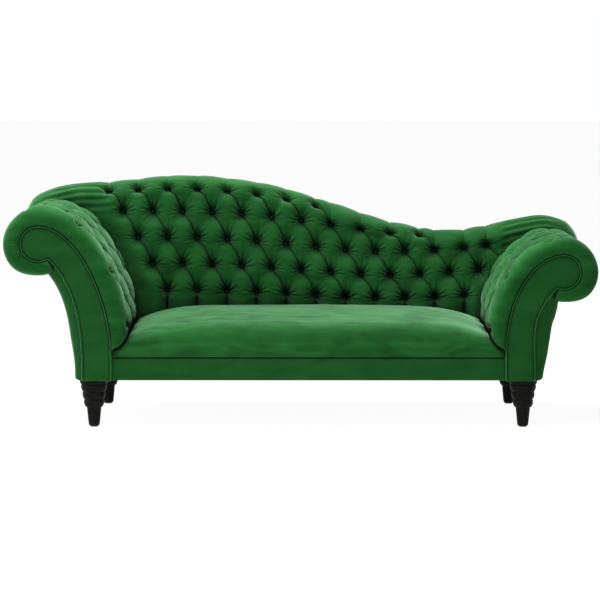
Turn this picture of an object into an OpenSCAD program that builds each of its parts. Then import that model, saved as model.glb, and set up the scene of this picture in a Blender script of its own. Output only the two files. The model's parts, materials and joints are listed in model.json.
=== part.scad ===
// Fainting couch with two scrolled arms, a deep-buttoned back that falls from
// a hump to a dip, a tight sprung seat and four turned, fluted legs.
// Millimetres. X runs along the couch, the front faces -Y and Z = 0 is the floor.

/* [Overall] */
// Width over the outsides of the two arm rolls
couch_w = 2200; // [2000:10:2500]
// Depth from the arm fronts to the rear of the back roll
couch_d = 810; // [740:5:900]
// Length of the seat between the two arm fronts
seat_l = 1464; // [1300:4:1560]
// How far the seat's middle lies right of the couch's middle
seat_shift = 29; // [0:1:60]
// Height of the legs, up to the underside of the frame
leg_h = 175; // [120:1:230]

/* [Seat] */
// Height of the seat frame's rails
rail_h = 75; // [60:1:100]
// Thickness of the seat frame's boards
rail_t = 28; // [20:1:36]
// Depth of the front rail's cover behind the arm fronts
border_inset = 25; // [15:1:40]
// Depth from the back pad's front, at the seat, to the couch's rear
back_room = 212; // [200:1:240]
// Rise of the seat pad's crown above the front seam
seat_rise = 154; // [120:1:190]
// Fall of the seat's top from its middle to its ends
seat_crown = 60; // [10:1:70]
// Fall of the seat's top from its middle to its front edge
front_fall = 24; // [5:1:40]
// Radius of the seat pad's front edge
nose_r = 74; // [30:1:90]

/* [Springs] */
// Number of zigzag seat springs
spring_count = 11; // [6:1:14]
// Diameter of the spring wire
wire_d = 4; // [3:0.1:5]
// Width of a spring across its bends
spring_w = 50; // [40:1:60]
// Bends along one spring
spring_bends = 20; // [14:2:26]
// Thickness of the felt over the springs
felt_t = 6; // [4:1:10]

/* [Arms] */
// Height of the left scroll's centre
left_scroll_z = 682; // [620:1:740]
// Height of the right scroll's centre
right_scroll_z = 579; // [540:1:640]
// Radius of the left arm front's round head
left_head_r = 64; // [50:1:76]
// Radius of the right arm front's round head
right_head_r = 62; // [50:1:76]
// Width of each arm front at its foot
stem_w = 104; // [85:1:125]
// Height where the arm pads end and the arm fronts start to curve
stem_z = 290; // [270:1:320]
// Padding round the outside of a roll
roll_pad = 68; // [50:1:75]
// Extra padding on top of the left roll
roll_swell = 10; // [0:1:16]
// Padding that the left roll loses beneath
left_roll_hollow = 14; // [0:1:20]
// Padding that the right roll loses beneath
right_roll_hollow = 18; // [0:1:24]
// Padding on the inside of an arm
inside_pad = 80; // [60:1:90]
// Thickness of the padded cover outside each arm's stem, at its foot
outside_t = 31; // [18:1:36]
// Further thickness of the left arm's outside cover at its top
left_outside_swell = 11; // [0:1:20]
// Further thickness of the right arm's outside cover at its top
right_outside_swell = 19; // [0:1:24]
// Thickness of the curved lining that carries an arm pad
lining_t = 6; // [4:1:10]
// Thickness of the scroll boards
board_t = 22; // [18:1:28]
// Thickness of the arm fronts' covers
facing_t = 10; // [8:1:18]
// Diameter of the piping round the arm fronts
piping_d = 7; // [5:0.5:10]
// Radius of the soft front edge of an arm pad
front_roll = 46; // [30:1:60]

/* [Back] */
// Height of the back's hump
hump_z = 908; // [860:1:960]
// Height of the back's dip
dip_z = 692; // [640:1:720]
// Radius of the roll along the back's top
top_roll_r = 76; // [60:1:85]
// Depth of the back frame's boards
back_frame_t = 62; // [45:1:70]
// Thickness of the outside back cover
outside_back_t = 10; // [6:1:14]

/* [Buttons] */
// Distance between neighbouring buttons in a row of the back
button_pitch = 117; // [100:1:135]
// Height between rows of the back's buttons
row_gap = 103; // [90:1:115]
// Height of the lowest row of the back's buttons
first_row_z = 458; // [440:1:480]
// Number of button rows on the back
row_count = 5; // [3:1:5]
// Distance between neighbouring buttons along an arm's curve
arm_pitch = 210; // [180:2:240]
// Depth between rows of an arm's buttons
arm_row_gap = 115; // [100:1:130]
// Depth of an arm's first row behind its front
arm_first_row = 76; // [70:1:90]
// Diameter of a covered button
button_d = 22; // [16:1:28]
// Height of the padding between its folds
tuft_h = 26; // [12:1:34]
// Further depth of the padding at a button
button_sink = 12; // [6:1:18]

/* [Legs] */
// Distance from the arm fronts to the front legs' centres
front_leg_y = 62; // [56:1:90]
// Distance from the arm fronts to the rear legs' centres
rear_leg_y = 712; // [640:1:730]
// Distance from the seat's ends outwards to the legs' centres
leg_out = 66; // [56:1:72]
// Radius of a leg's top flange
leg_top_r = 52; // [44:1:56]
// Radius of a leg at the floor
leg_foot_r = 20; // [16:1:26]
// Number of flutes round a leg
flute_count = 12; // [8:1:16]
// Diameter of the bolt in a leg
bolt_d = 8; // [6:1:10]
// Length of the bolt in a leg
bolt_l = 70; // [50:1:80]
// Thickness of the glide under a leg
glide_t = 4; // [3:0.5:6]

/* [Hidden] */

// Colours of the velvet, the frame's wood, the ebonised legs and the metal
velvet = [0.07, 0.33, 0.14];
velvet_dark = [0.05, 0.25, 0.11];
beech = [0.78, 0.62, 0.42];
ebony = [0.09, 0.085, 0.08];
steel = [0.62, 0.63, 0.65];
hessian = [0.66, 0.55, 0.38];
felt = [0.45, 0.45, 0.42];
lining = [0.12, 0.12, 0.12];

// Clearance between a soft piece and what it lies on
gap = 0.4;
pad_gap = 0.9;
// Places in depth, from the front plane at y0 to the rear of the roll at y1
y0 = -couch_d / 2;
y1 = couch_d / 2;
roll_y = y1 - top_roll_r;
seat_y0 = y0 + border_inset;
back_y = y1 - back_room;
roll_front_y = roll_y - top_roll_r;
outside_back_y = y1 - 20;
frame_rear_y = outside_back_y - outside_back_t;
frame_front_y = frame_rear_y - back_frame_t;
web_t = 2;
web_y = frame_front_y - web_t;
facing_y = y0 + piping_d + 2 * gap;
board_y = facing_y + facing_t;
rail_y = board_y + board_t;
rear_board_y = frame_rear_y - board_t;
rear_rail_y = frame_front_y - rail_t;
// Heights in the seat
rail_top = leg_h + rail_h;
spring_z = rail_top + 1;
felt_z = spring_z + wire_d;
seam_z = felt_z + felt_t + gap;
seat_top = seam_z + seat_rise;
cover_z = leg_h + 1;

// Arms: index 0 is the left arm and 1 the right arm
out = [-1, 1];
edge_x = [seat_shift - seat_l / 2, seat_shift + seat_l / 2];
head_r = [left_head_r, right_head_r];
head_z = [left_scroll_z, right_scroll_z];
head_u = [for (a = [0, 1]) couch_w / 2 - head_r[a] - roll_pad - out[a] * edge_x[a]];
// How each arm front's curves leave the stem, reach the head and meet it beneath
inner_rise = [0.33, 0.58];
inner_sweep = [0.6, 0.5];
outer_rise = [0.5, 0.4];
outer_sweep = [0.3, 0.5];
notch_angle = [-125, -112];
// Padding round each roll by the angle above its centre, and the outside covers' padding by their height
top_swell = [roll_swell, 0];
roll_hollow = [left_roll_hollow, right_roll_hollow];
outside_swell = [left_outside_swell, right_outside_swell];
outer_z = 220;
board_z = leg_h;

// Point at t of a Bezier curve with four control points
function bezier(p, t) =
    pow(1 - t, 3) * p[0] + 3 * pow(1 - t, 2) * t * p[1] + 3 * (1 - t) * t * t * p[2] + pow(t, 3) * p[3];
function quarter(t) = sqrt(max(0, 1 - pow(1 - min(1, max(0, t)), 2)));
function blend(a, b, t) = a + (b - a) * min(1, max(0, t));
function smooth(t) = let (c = min(1, max(0, t))) c * c * (3 - 2 * c);
function roll_thick(a, angle) =
    roll_pad + top_swell[a] * smooth((angle - 50) / 40) - roll_hollow[a] * smooth((-angle - 35) / 55);
function outside_thick(a, z) = outside_t + outside_swell[a] * smooth((z - 200) / 170);
function rim(a, angle, r) = [head_u[a] + r * cos(angle), head_z[a] + r * sin(angle)];

// Control points of an arm front's inner and outer edges, as distance out of the seat and height
function inner_curve(a) = let (top = head_z[a] + head_r[a]) [
    [0, stem_z],
    [0, stem_z + inner_rise[a] * (top - stem_z)],
    [head_u[a] * (1 - inner_sweep[a]), top],
    [head_u[a], top]
];
function outer_curve(a) = let (notch = rim(a, notch_angle[a], head_r[a]), rise = notch[1] - outer_z) [
    [stem_w, outer_z],
    [stem_w, outer_z + outer_rise[a] * rise],
    notch - outer_sweep[a] * rise * [cos(45), sin(45)],
    notch
];
function curve_normal(p, t) = let (d = bezier(p, t + 0.01) - bezier(p, t - 0.01)) [-d[1], d[0]] / norm(d);

// Outline of an arm front, grown or shrunk by d, in distance out of the seat and height
function front_outline(a, d) = concat(
    [[-d, board_z]],
    [for (i = [0 : 12]) let (t = i / 12) bezier(inner_curve(a), t) + d * curve_normal(inner_curve(a), t)],
    [for (i = [1 : 17]) rim(a, blend(90, notch_angle[a], i / 17), head_r[a] + d)],
    [for (i = [7 : -1 : 0])
        let (t = i / 8)
        bezier(outer_curve(a), t) - d * curve_normal(outer_curve(a), t)],
    [[stem_w + d, board_z]]
);

// Line along an arm pad: point on the lining, outward direction and thickness of the padding there
inside_steps = 44;
round_steps = 30;
function pad_line(a) = concat(
    [for (i = [0 : inside_steps])
        let (t = i / inside_steps, swell = blend(inside_pad, roll_thick(a, 90), smooth(t)))
        [bezier(inner_curve(a), t), curve_normal(inner_curve(a), t), max(6, swell * quarter(t / 0.22)), t]],
    [for (i = [1 : round_steps])
        let (angle = blend(90, notch_angle[a] + 4, i / round_steps))
        [rim(a, angle, head_r[a]), [cos(angle), sin(angle)], roll_thick(a, angle), 1 + i / round_steps]]
);
function running(points, i = 0, sum = 0, sums = []) =
    i == len(points) ? sums
    : let (next = sum + (i == 0 ? 0 : norm(points[i] - points[i - 1])))
        running(points, i + 1, next, concat(sums, [next]));

// Depth of the padding: 0 on a button, 1 on the crown of a diamond
function tuft(p, q) =
    let (
        dome = pow(abs(sin(180 * p)) * abs(sin(180 * q)), 0.6),
        rp = p - round(p),
        rq = q - round(q),
        dimple = exp(-(rp * rp + rq * rq) / 0.012)
    )
    tuft_h * (1 - dome) + button_sink * dimple;

// Place of the world point at u out of the seat, height z and depth y beside arm a
function arm_point(a, p, y) = [edge_x[a] + out[a] * p[0], y, p[1]];

// Height of the back's outline over the couch, through the hump, the dip and the ends beyond the arms
crest_line = [
    [-couch_w / 2, left_scroll_z + 72],
    [-couch_w / 2 + 45, left_scroll_z + 140],
    [-couch_w / 2 + 150, left_scroll_z + 180],
    [-couch_w / 2 + 380, hump_z - 22],
    [-460, hump_z],
    [-150, hump_z - 32],
    [110, hump_z - 104],
    [350, dip_z + 35],
    [590, dip_z],
    [couch_w / 2 - 320, dip_z + 28],
    [couch_w / 2 - 160, right_scroll_z + 168],
    [couch_w / 2 - 55, right_scroll_z + 148],
    [couch_w / 2, right_scroll_z + 88]
];
function slope(k) =
    let (b = max(0, k - 1), e = min(len(crest_line) - 1, k + 1))
    (crest_line[e][1] - crest_line[b][1]) / (crest_line[e][0] - crest_line[b][0]);
function crest(x) =
    let (
        k = max([0, for (i = [0 : len(crest_line) - 2]) if (crest_line[i][0] <= x) i]),
        w = crest_line[k + 1][0] - crest_line[k][0],
        t = (x - crest_line[k][0]) / w
    )
    (2 * pow(t, 3) - 3 * t * t + 1) * crest_line[k][1] + (pow(t, 3) - 2 * t * t + t) * w * slope(k)
    + (3 * t * t - 2 * pow(t, 3)) * crest_line[k + 1][1] + (pow(t, 3) - t * t) * w * slope(k + 1);

// Lowest part of the back pad: behind the seat, over the arms' linings and at the rolls' ends
back_foot = seat_top - 62;
function board_top(a, u) =
    u >= head_u[a] + head_r[a] + 30 ? head_z[a] - 4
    : u >= head_u[a] + head_r[a] - 6 ? head_z[a] + 34
    : u >= head_u[a] ? head_z[a] + sqrt(pow(head_r[a], 2) - pow(u - head_u[a], 2))
    : let (t = max([0, for (i = [0 : 60]) if (bezier(inner_curve(a), i / 60)[0] <= u + 8) i / 60]))
        bezier(inner_curve(a), t)[1];
function back_low(x) =
    let (u = [for (a = [0, 1]) out[a] * (x - edge_x[a])])
    u[0] > 0 ? max(back_foot, board_top(0, u[0]) + 9)
    : u[1] > 0 ? max(back_foot, board_top(1, u[1]) + 9)
    : back_foot;

// Rows of the back's buttons follow the fall of its outline
function fall(x) = exp(-pow((x - 350) / 450, 2));
function row_z(x, row) = first_row_z - 35 * fall(x) + row * (row_gap - 12 * fall(x));
function row_at(x, z) = (z - first_row_z + 35 * fall(x)) / (row_gap - 12 * fall(x));

// Point on the back pad's smooth surface at x and at height v, counted on over the roll
roll_end = 195;
function back_face_y(x, z) =
    let (top = crest(x) - top_roll_r)
    back_y + blend(-4, roll_front_y - back_y, (z - back_foot) / max(60, top - back_foot));
function back_point(x, v, d) =
    let (zc = crest(x) - top_roll_r, angle = (v - zc) / top_roll_r * 180 / PI)
    v < zc ? [x, back_face_y(x, v) + d, v]
    : [x, roll_y - (top_roll_r - d) * cos(angle), zc + (top_roll_r - d) * sin(angle)];
// Number of pitches from the middle to x; the last buttons of the upper rows lie closer to their neighbours
function pitches(x, row) = let (a = x / button_pitch) a + 0.25 * smooth((a - 5.5) / 0.75) * smooth(row - 1);
// Place of each row's first and last button
row_first = function (row) edge_x[0] - 58 + (row_count - 1 - row) * button_pitch / 2;
row_last = function (row) edge_x[1] - max(0, 2 - row) * button_pitch / 2;
// Row at which the buttons end: it falls by one along a fold at each step of the outline
function top_line(x) =
    let (a = x / button_pitch)
    row_count - 1 - blend(0, 1, 2 * a - 1) - blend(0, 1, 2 * a - 8);
// Upright pleats run down from the lowest row of buttons, and from the highest row over the roll
roll_pleat = [3, 11];
function back_depth(x, v) =
    let (
        row = row_at(x, v),
        level = min(row_count - 1, max(0, row)),
        a = pitches(x, row),
        b = row / 2,
        p = a + 0.5 + b,
        q = a + 0.5 - b,
        edge = smooth((x - row_first(level) + 75) / 60) * smooth((row_last(level) + 75 - x) / 60),
        top = top_line(x),
        over = blend(roll_pleat[0], roll_pleat[1], (x + 100) / 450),
        crest_pleat = over + (tuft_h - over) * exp(-3 * max(0, row - top))
    )
    edge * smooth((back_end_v(x) - v) / 110)
    * (row < 0 ? tuft_h * upright_fold(a + 0.5)
        : row > top ? crest_pleat * upright_fold(a + (a > 0.75 && a < 4.25 ? 0 : 0.5))
        : tuft(p, q));
function upright_fold(a) = 1 - pow(abs(sin(180 * a)), 0.6);

// Triangles of a loft through n sections of m points each; fold(i, j) picks each quad's diagonal
function loft_sides(n, m, fold) = [
    for (i = [0 : n - 2], j = [0 : m - 1])
        let (a = i * m + j, b = i * m + (j + 1) % m, c = a + m, d = b + m)
        each (fold(i, j) ? [[a, b, d], [a, d, c]] : [[a, b, c], [b, d, c]])
];
// Triangles that close a section whose first k points face outwards and whose other points lie behind them
function end_cap(first, m, k, flip) =
    let (
        inner = m - k,
        at = function (j) round(j * (inner - 1) / (k - 1)),
        back = function (j) m - 1 - at(j)
    )
    [
        for (j = [0 : k - 2])
            let (face = [j, j + 1, back(j)], step = [j + 1, back(j + 1), back(j)])
            each concat(
                [[for (v = flip ? [face[0], face[2], face[1]] : face) first + v]],
                at(j + 1) > at(j) ? [[for (v = flip ? [step[0], step[2], step[1]] : step) first + v]] : []
            )
    ];
module loft(sections, k, fold = function (i, j) true, turn = false) {
    n = len(sections);
    m = len(sections[0]);
    points = [for (section = sections) each section];
    faces = concat(
        loft_sides(n, m, fold),
        end_cap(0, m, k, true),
        end_cap((n - 1) * m, m, k, false)
    );
    polyhedron(points, turn ? [for (f = faces) [f[0], f[2], f[1]]] : faces);
}

// An outline drawn in X and Z, made solid from depth y over a thickness t
module upright(y, t) {
    translate([0, y + t, 0]) rotate([90, 0, 0]) linear_extrude(t) children();
}
module arm_outline(a, points) {
    polygon([for (p = points) [edge_x[a] + out[a] * p[0], p[1]]]);
}

// Seat frame
beam_in = leg_out - 22;
beam_w = 44;
module front_rail() {
    color(beech)
        translate([edge_x[0] - beam_in, rail_y, leg_h])
        cube([seat_l + 2 * beam_in, rail_t, rail_h]);
}
module rear_rail() {
    color(beech)
        translate([edge_x[0] - beam_in, rear_rail_y, leg_h])
        cube([seat_l + 2 * beam_in, rail_t, rail_h]);
}
leg_places = [for (y = [front_leg_y, rear_leg_y], a = [0, 1]) [edge_x[a] + out[a] * leg_out, y0 + y, 0]];
nut_z = leg_h + 32;
module side_rail(a) {
    x = edge_x[a] + out[a] * (beam_in + beam_w / 2);
    color(beech)
        difference() {
            translate([x - beam_w / 2, rail_y, leg_h]) cube([beam_w, rear_board_y - rail_y, rail_h]);
            for (k = [a, a + 2]) translate(leg_places[k]) {
                translate([0, 0, leg_h - 1]) cylinder(h = rail_h + 2, d = bolt_d + 3, $fn = 32);
                translate([0, 0, nut_z]) cylinder(h = rail_h, d = bolt_d + 16, $fn = 32);
            }
        }
}
module left_side_rail() { side_rail(0); }
module right_side_rail() { side_rail(1); }
module cross_rails() {
    color(beech)
        for (k = [1, 2])
            translate([edge_x[0] + seat_l * k / 3 - rail_t / 2, rail_y + rail_t, leg_h])
            cube([rail_t, rear_rail_y - rail_y - rail_t, rail_h - 20]);
}
block_l = 78;
block_h = 44;
block_z = leg_h + 12;
block_side = beam_in + block_l;
// Corners of the seat frame, each with the way out of the seat and the way into it
frame_corners = [for (a = [0, 1], end = [0, 1]) [
    [edge_x[a] + out[a] * beam_in, end == 0 ? rail_y + rail_t : rear_rail_y, block_z],
    out[a],
    end == 0 ? 1 : -1
]];
module corner_blocks() {
    color(beech)
        for (corner = frame_corners)
            translate(corner[0]) linear_extrude(block_h)
                polygon([[0, 0], [-corner[1] * block_side, 0], [0, corner[2] * block_side]]);
}
screw_d = 5;
screw_spread = 26;
module block_screws() {
    color(steel)
        for (corner = frame_corners, side = [-1, 1]) {
            across = side * screw_spread / sqrt(2) * [corner[1], corner[2], 0];
            middle = [-corner[1] * block_side / 2, corner[2] * block_side / 2, block_h / 2];
            translate(corner[0] + middle + across)
                rotate([0, 0, atan2(corner[2], -corner[1])])
                rotate([0, 90, 0])
                cylinder(h = screw_d / 2, d = 2 * screw_d, $fn = 24);
        }
}

// Seat springs: one flat zigzag of round-ended bends each, held by a clip on each rail
spring_y0 = rail_y + rail_t / 2;
spring_y1 = frame_front_y - rail_t / 2;
spring_gap = seat_l / (spring_count + 1);
spring_x = [for (k = [1 : spring_count]) edge_x[0] + k * spring_gap];
bend = (spring_y1 - spring_y0) / spring_bends;
bend_steps = 8;
function spring_mid(angle) = [
    spring_w / 2 * sin(angle),
    spring_y0 + bend * (angle / 180 - sin(2 * angle) / (2 * PI))
];
function spring_side(angle, side) =
    let (d = spring_mid(angle + 1) - spring_mid(angle - 1))
    spring_mid(angle) + side * wire_d / 2 * [-d[1], d[0]] / norm(d);
spring_angles = [for (k = [0 : bend_steps * spring_bends]) k * 180 / bend_steps];
module seat_springs() {
    color(steel)
        for (x = spring_x)
            translate([x, 0, spring_z]) linear_extrude(wire_d)
                polygon(concat(
                    [for (angle = spring_angles) spring_side(angle, 1)],
                    [for (k = [len(spring_angles) - 1 : -1 : 0]) spring_side(spring_angles[k], -1)]
                ));
}
clip_l = 26;
module spring_clips() {
    color(steel)
        for (x = spring_x, y = [spring_y0, spring_y1])
            translate([x - spring_w / 4, y - clip_l / 4, rail_top])
            cube([spring_w / 2, clip_l / 2, spring_z - rail_top]);
}
module spring_felt() {
    color(felt)
        translate([edge_x[0] + lining_t + gap, rail_y, felt_z])
        cube([seat_l - 2 * lining_t - 2 * gap, frame_front_y - rail_y, felt_t]);
}

// Seat pad: crowned along and across, with a rounded front edge and ends that tuck under the arm pads
seat_columns = 24;
seat_squeeze = 4;
function pad_edge(a, t) =
    bezier(inner_curve(a), t) + curve_normal(inner_curve(a), t) * max(6, inside_pad * quarter(t / 0.22));
function seat_end(a, height) =
    let (
        z = height + seat_squeeze,
        edge = [for (i = [0 : 40]) pad_edge(a, i / 80)],
        above = [for (p = edge) if (p[1] > z) p][0],
        below = [for (p = edge) if (p[1] <= z) p],
        under = len(below) == 0 ? [0, z] : below[len(below) - 1],
        u = len(below) == 0 ? 0 : under[0] + (above[0] - under[0]) * (z - under[1]) / (above[1] - under[1])
    )
    edge_x[a] + out[a] * (min(0, u) - seat_squeeze);
seat_levels = [0, 0.08, 0.16, 0.25, 0.36, 0.5, 0.7];
nose_steps = 4;
seat_rows = 7;
// Depth and crown height of each section of the seat pad, from its front face to its rear
seat_profile = concat(
    [for (i = [0 : nose_steps - 1])
        let (c = 90 * i / nose_steps)
        [seat_y0 + nose_r * (1 - cos(c)), seat_top - front_fall - nose_r * (1 - sin(c))]],
    [for (i = [0 : seat_rows])
        let (c = i / seat_rows)
        [blend(seat_y0 + nose_r, back_y - gap - 4, c), seat_top - front_fall * pow(1 - c, 3) - 10 * pow(c, 3)]]
);
function seat_section(y, top) =
    let (
        share = (top - seam_z) / seat_rise,
        side_top = top - seat_crown * share,
        left = [for (f = seat_levels) let (z = blend(seam_z, side_top, f)) [seat_end(0, z), y, z]],
        right = [for (f = seat_levels) let (z = blend(seam_z, side_top, f)) [seat_end(1, z), y, z]],
        low = seat_end(0, side_top),
        high = seat_end(1, side_top)
    )
    concat(
        left,
        [for (k = [0 : seat_columns])
            let (t = k / seat_columns)
            [blend(low, high, t), y, top - seat_crown * share * pow(abs(2 * t - 1), 6)]],
        [for (k = [len(right) - 1 : -1 : 0]) right[k]],
        [[seat_shift, y, seam_z]]
    );
module seat_pad() {
    color(velvet)
        loft(
            [for (row = seat_profile) seat_section(row[0], row[1])],
            2 * len(seat_levels) + seat_columns + 1,
            turn = true
        );
}
border_edge = 5;
module front_border() {
    near = function (angle) seat_y0 + border_edge * (1 - sin(angle));
    rise = function (angle) border_edge * (1 - cos(angle));
    color(velvet)
        translate([edge_x[0] + gap, 0, 0]) rotate([90, 0, 90]) linear_extrude(seat_l - 2 * gap)
        polygon(concat(
            [[rail_y - gap, cover_z]],
            [for (i = [0 : 4]) [near(i * 22.5), cover_z + rise(i * 22.5)]],
            [for (i = [4 : -1 : 0]) [near(i * 22.5), seam_z - gap - rise(i * 22.5)]],
            [[rail_y - gap, seam_z - gap]]
        ));
}
cloth_t = 1.6;
module dust_cover() {
    color(lining)
        translate([edge_x[0] + gap, rail_y, leg_h - cloth_t])
        cube([seat_l - 2 * gap, frame_rear_y - rail_y, cloth_t]);
}

// Turned legs: a flange, three swelling rings that step down, and a fluted tapering shaft
flange_h = 15;
ring_h = 29;
ring_count = 3;
ring_swell = 4.5;
shaft_r = leg_foot_r + 7;
shaft_top = leg_h - flange_h - ring_count * ring_h;
function ring_r(t) = blend(leg_top_r - 6, shaft_r + 3, t);
flute_r = 4;
flute_cut = 1.6;
bolt_hole_d = bolt_d + 0.4;
module leg(k) {
    tilt = atan((shaft_r - leg_foot_r) / shaft_top);
    color(ebony)
        translate(leg_places[k])
        difference() {
            rotate_extrude($fn = 48) polygon(concat(
                [[0, glide_t], [leg_foot_r - 2, glide_t], [leg_foot_r, glide_t + 3]],
                [[shaft_r, shaft_top]],
                [
                    for (ring = [ring_count : -1 : 1], i = [0 : 5])
                        let (t = (ring - i / 5) / ring_count, up = ring_count - ring + i / 5)
                        [ring_r(t) + ring_swell * sin(i * 36), shaft_top + ring_h * up]
                ],
                [
                    [leg_top_r - 2, leg_h - flange_h + 1],
                    [leg_top_r, leg_h - flange_h + 4],
                    [leg_top_r, leg_h],
                    [0, leg_h]
                ]
            ));
            translate([0, 0, leg_h - bolt_l / 2 - 4]) cylinder(h = bolt_l, d = bolt_hole_d, $fn = 24);
            for (i = [0 : flute_count - 1]) rotate([0, 0, (i + 0.5) * 360 / flute_count])
                translate([leg_foot_r + flute_r - flute_cut, 0, glide_t + 8])
                rotate([0, tilt, 0])
                cylinder(h = shaft_top - glide_t - 20, r = flute_r, $fn = 16);
        }
}
module front_left_leg() { leg(0); }
module front_right_leg() { leg(1); }
module rear_left_leg() { leg(2); }
module rear_right_leg() { leg(3); }
module leg_bolts() {
    color(steel)
        for (place = leg_places)
            translate(place + [0, 0, leg_h - bolt_l / 2]) cylinder(h = bolt_l, d = bolt_d, $fn = 32);
}
nut_h = 12;
module tee_nuts() {
    color(steel)
        for (place = leg_places)
            translate(place + [0, 0, nut_z - nut_h]) difference() {
                union() {
                    cylinder(h = nut_h, d = bolt_d + 2.4, $fn = 32);
                    translate([0, 0, nut_h]) cylinder(h = 1.6, d = bolt_d + 14, $fn = 32);
                }
                translate([0, 0, -1]) cylinder(h = nut_h + 4, d = bolt_hole_d, $fn = 32);
            }
}
module leg_glides() {
    color(lining)
        for (place = leg_places)
            translate(place) cylinder(h = glide_t, r = leg_foot_r - 5, $fn = 40);
}

// Arms: two scroll boards, a rail between their heads, a bent lining, and the upholstery on them
module scroll_board(a, y) {
    color(beech) upright(y, board_t) arm_outline(a, front_outline(a, 0));
}
module left_front_scroll_board() { scroll_board(0, board_y); }
module right_front_scroll_board() { scroll_board(1, board_y); }
module left_rear_scroll_board() { scroll_board(0, rear_board_y); }
module right_rear_scroll_board() { scroll_board(1, rear_board_y); }
arm_rail_w = 50;
module arm_rail(a) {
    centre = arm_point(a, [head_u[a], head_z[a]], rail_y);
    color(beech)
        translate(centre - [arm_rail_w / 2, 0, arm_rail_w / 2])
        cube([arm_rail_w, rear_board_y - rail_y, arm_rail_w]);
}
module left_arm_rail() { arm_rail(0); }
module right_arm_rail() { arm_rail(1); }
module arm_lining(a) {
    line = pad_line(a);
    outer = [for (p = line) p[0]];
    inner = [for (k = [len(line) - 1 : -1 : 0]) line[k][0] - lining_t * line[k][1]];
    color(hessian)
        upright(rail_y, rear_board_y - rail_y)
        arm_outline(a, concat([[0, rail_top]], outer, inner, [[lining_t, rail_top]]));
}
module left_arm_lining() { arm_lining(0); }
module right_arm_lining() { arm_lining(1); }

// Buttons along an arm are counted from one near the top of its roll
arm_button_shift = [41, -59];
arm_rows = 20;
row_step = arm_row_gap / 4;
function arm_lengths(a) = running([for (p = pad_line(a)) p[0] + p[2] * p[1]]);
function arm_anchor(a) = arm_lengths(a)[inside_steps] + arm_button_shift[a];
function arm_depth(a, s, y, line_place) =
    let (
        along = (s - arm_anchor(a)) / (arm_pitch / 2),
        back = (y - y0 - arm_first_row) / arm_row_gap,
        fade = smooth((s - 20) / 70) * smooth((1.55 - line_place) / 0.3) * smooth(1 + 4 * back)
    )
    fade * tuft((along + back) / 2, (along - back) / 2);
// The same line again, at s along the pad's surface, and its stations an eighth of a pitch apart
function line_at(line, lengths, s) =
    let (
        k = max([0, for (i = [0 : len(lengths) - 2]) if (lengths[i] <= s) i]),
        t = min(1, (s - lengths[k]) / (lengths[k + 1] - lengths[k]))
    )
    line[k] * (1 - t) + line[k + 1] * t;
function arm_stations(a) =
    let (
        step = arm_pitch / 8,
        all = arm_lengths(a)[len(arm_lengths(a)) - 1],
        anchor = arm_anchor(a),
        smooth_from = anchor + 4 * step,
        rest = ceil((all - smooth_from) / 36)
    )
    concat(
        [0],
        [for (k = [-ceil(anchor / step) : 4]) let (s = anchor + k * step) if (s > 9) s],
        [for (k = [1 : rest]) smooth_from + (all - smooth_from) * k / rest]
    );
function arm_rear(a, base, p, t) =
    t > 1.5 ? frame_rear_y - gap
    : min([for (q = [base, p]) back_face_y(edge_x[a] + out[a] * q[0], q[1])]) - 6;
// Depth behind the front and share of the padding at each point of the soft front edge
front_edge = [[board_t, 0.02], [facing_t, 0.08], [0, 0.36], [8, 0.8], [front_roll, 1]];
function arm_section(a, line, lengths, s) =
    let (
        here = line_at(line, lengths, s),
        base = here[0],
        away = here[1],
        thick = here[2],
        rear = arm_rear(a, base, base + thick * away, here[3])
    )
    concat(
        [for (e = front_edge)
            let (least = e[0] < piping_d + 4 ? piping_d / 2 + 1 : pad_gap)
            arm_point(a, base + max(least, thick * e[1]) * away, y0 + e[0])],
        [for (j = [1 : arm_rows])
            let (
                even = y0 + arm_first_row + (j - 1) * row_step,
                y = j == arm_rows ? rear : min(even, rear - (arm_rows - j) * 3),
                d = arm_depth(a, s, y, here[3])
            )
            arm_point(a, base + max(5, thick - d * min(1, thick / 60)) * away, y)],
        [arm_point(a, base + pad_gap * away, rear), arm_point(a, base + pad_gap * away, 0)]
    );
module arm_pad(a) {
    line = pad_line(a);
    lengths = arm_lengths(a);
    color(velvet)
        loft(
            [for (s = arm_stations(a)) arm_section(a, line, lengths, s)],
            len(front_edge) + arm_rows,
            turn = a == 0
        );
}
module left_arm_pad() { arm_pad(0); }
module right_arm_pad() { arm_pad(1); }

// A covered button on its shank, standing on the XY plane
shank_h = 16;
module button() {
    r = button_d / 2;
    rotate_extrude($fn = 24) polygon(concat(
        [[0, 2.1], [1.8, 2.1], [1.8, shank_h], [r - 1, shank_h]],
        [for (i = [0 : 4]) [r * cos(i * 22.5) + 0.001, shank_h + 1.5 + 4.5 * sin(i * 22.5)]],
        [[0, shank_h + 6]]
    ));
}

// Arm fronts: a padded cover, its piping, and the cover outside the stem
module facing(a) {
    color(velvet_dark) {
        upright(facing_y + 3, facing_t - 3 - gap) arm_outline(a, front_outline(a, -gap));
        upright(facing_y, 3) arm_outline(a, front_outline(a, -5));
    }
}
module left_facing() { facing(0); }
module right_facing() { facing(1); }
piping_sides = 6;
function piping_ring(line, k) =
    let (
        before = line[max(0, k - 1)],
        after = line[min(len(line) - 1, k + 1)],
        along = (after - before) / norm(after - before),
        side = [-along[2], 0, along[0]]
    )
    [for (i = [0 : piping_sides - 1])
        let (angle = 360 * i / piping_sides)
        line[k] + piping_d / 2 * (cos(angle) * side + sin(angle) * [0, 1, 0])];
module facing_piping(a) {
    line = [for (p = front_outline(a, 0)) arm_point(a, p, y0 + piping_d / 2 + gap)];
    color(velvet_dark)
        loft([for (k = [0 : len(line) - 1]) piping_ring(line, k)], piping_sides / 2);
}
module left_facing_piping() { facing_piping(0); }
module right_facing_piping() { facing_piping(1); }
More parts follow.
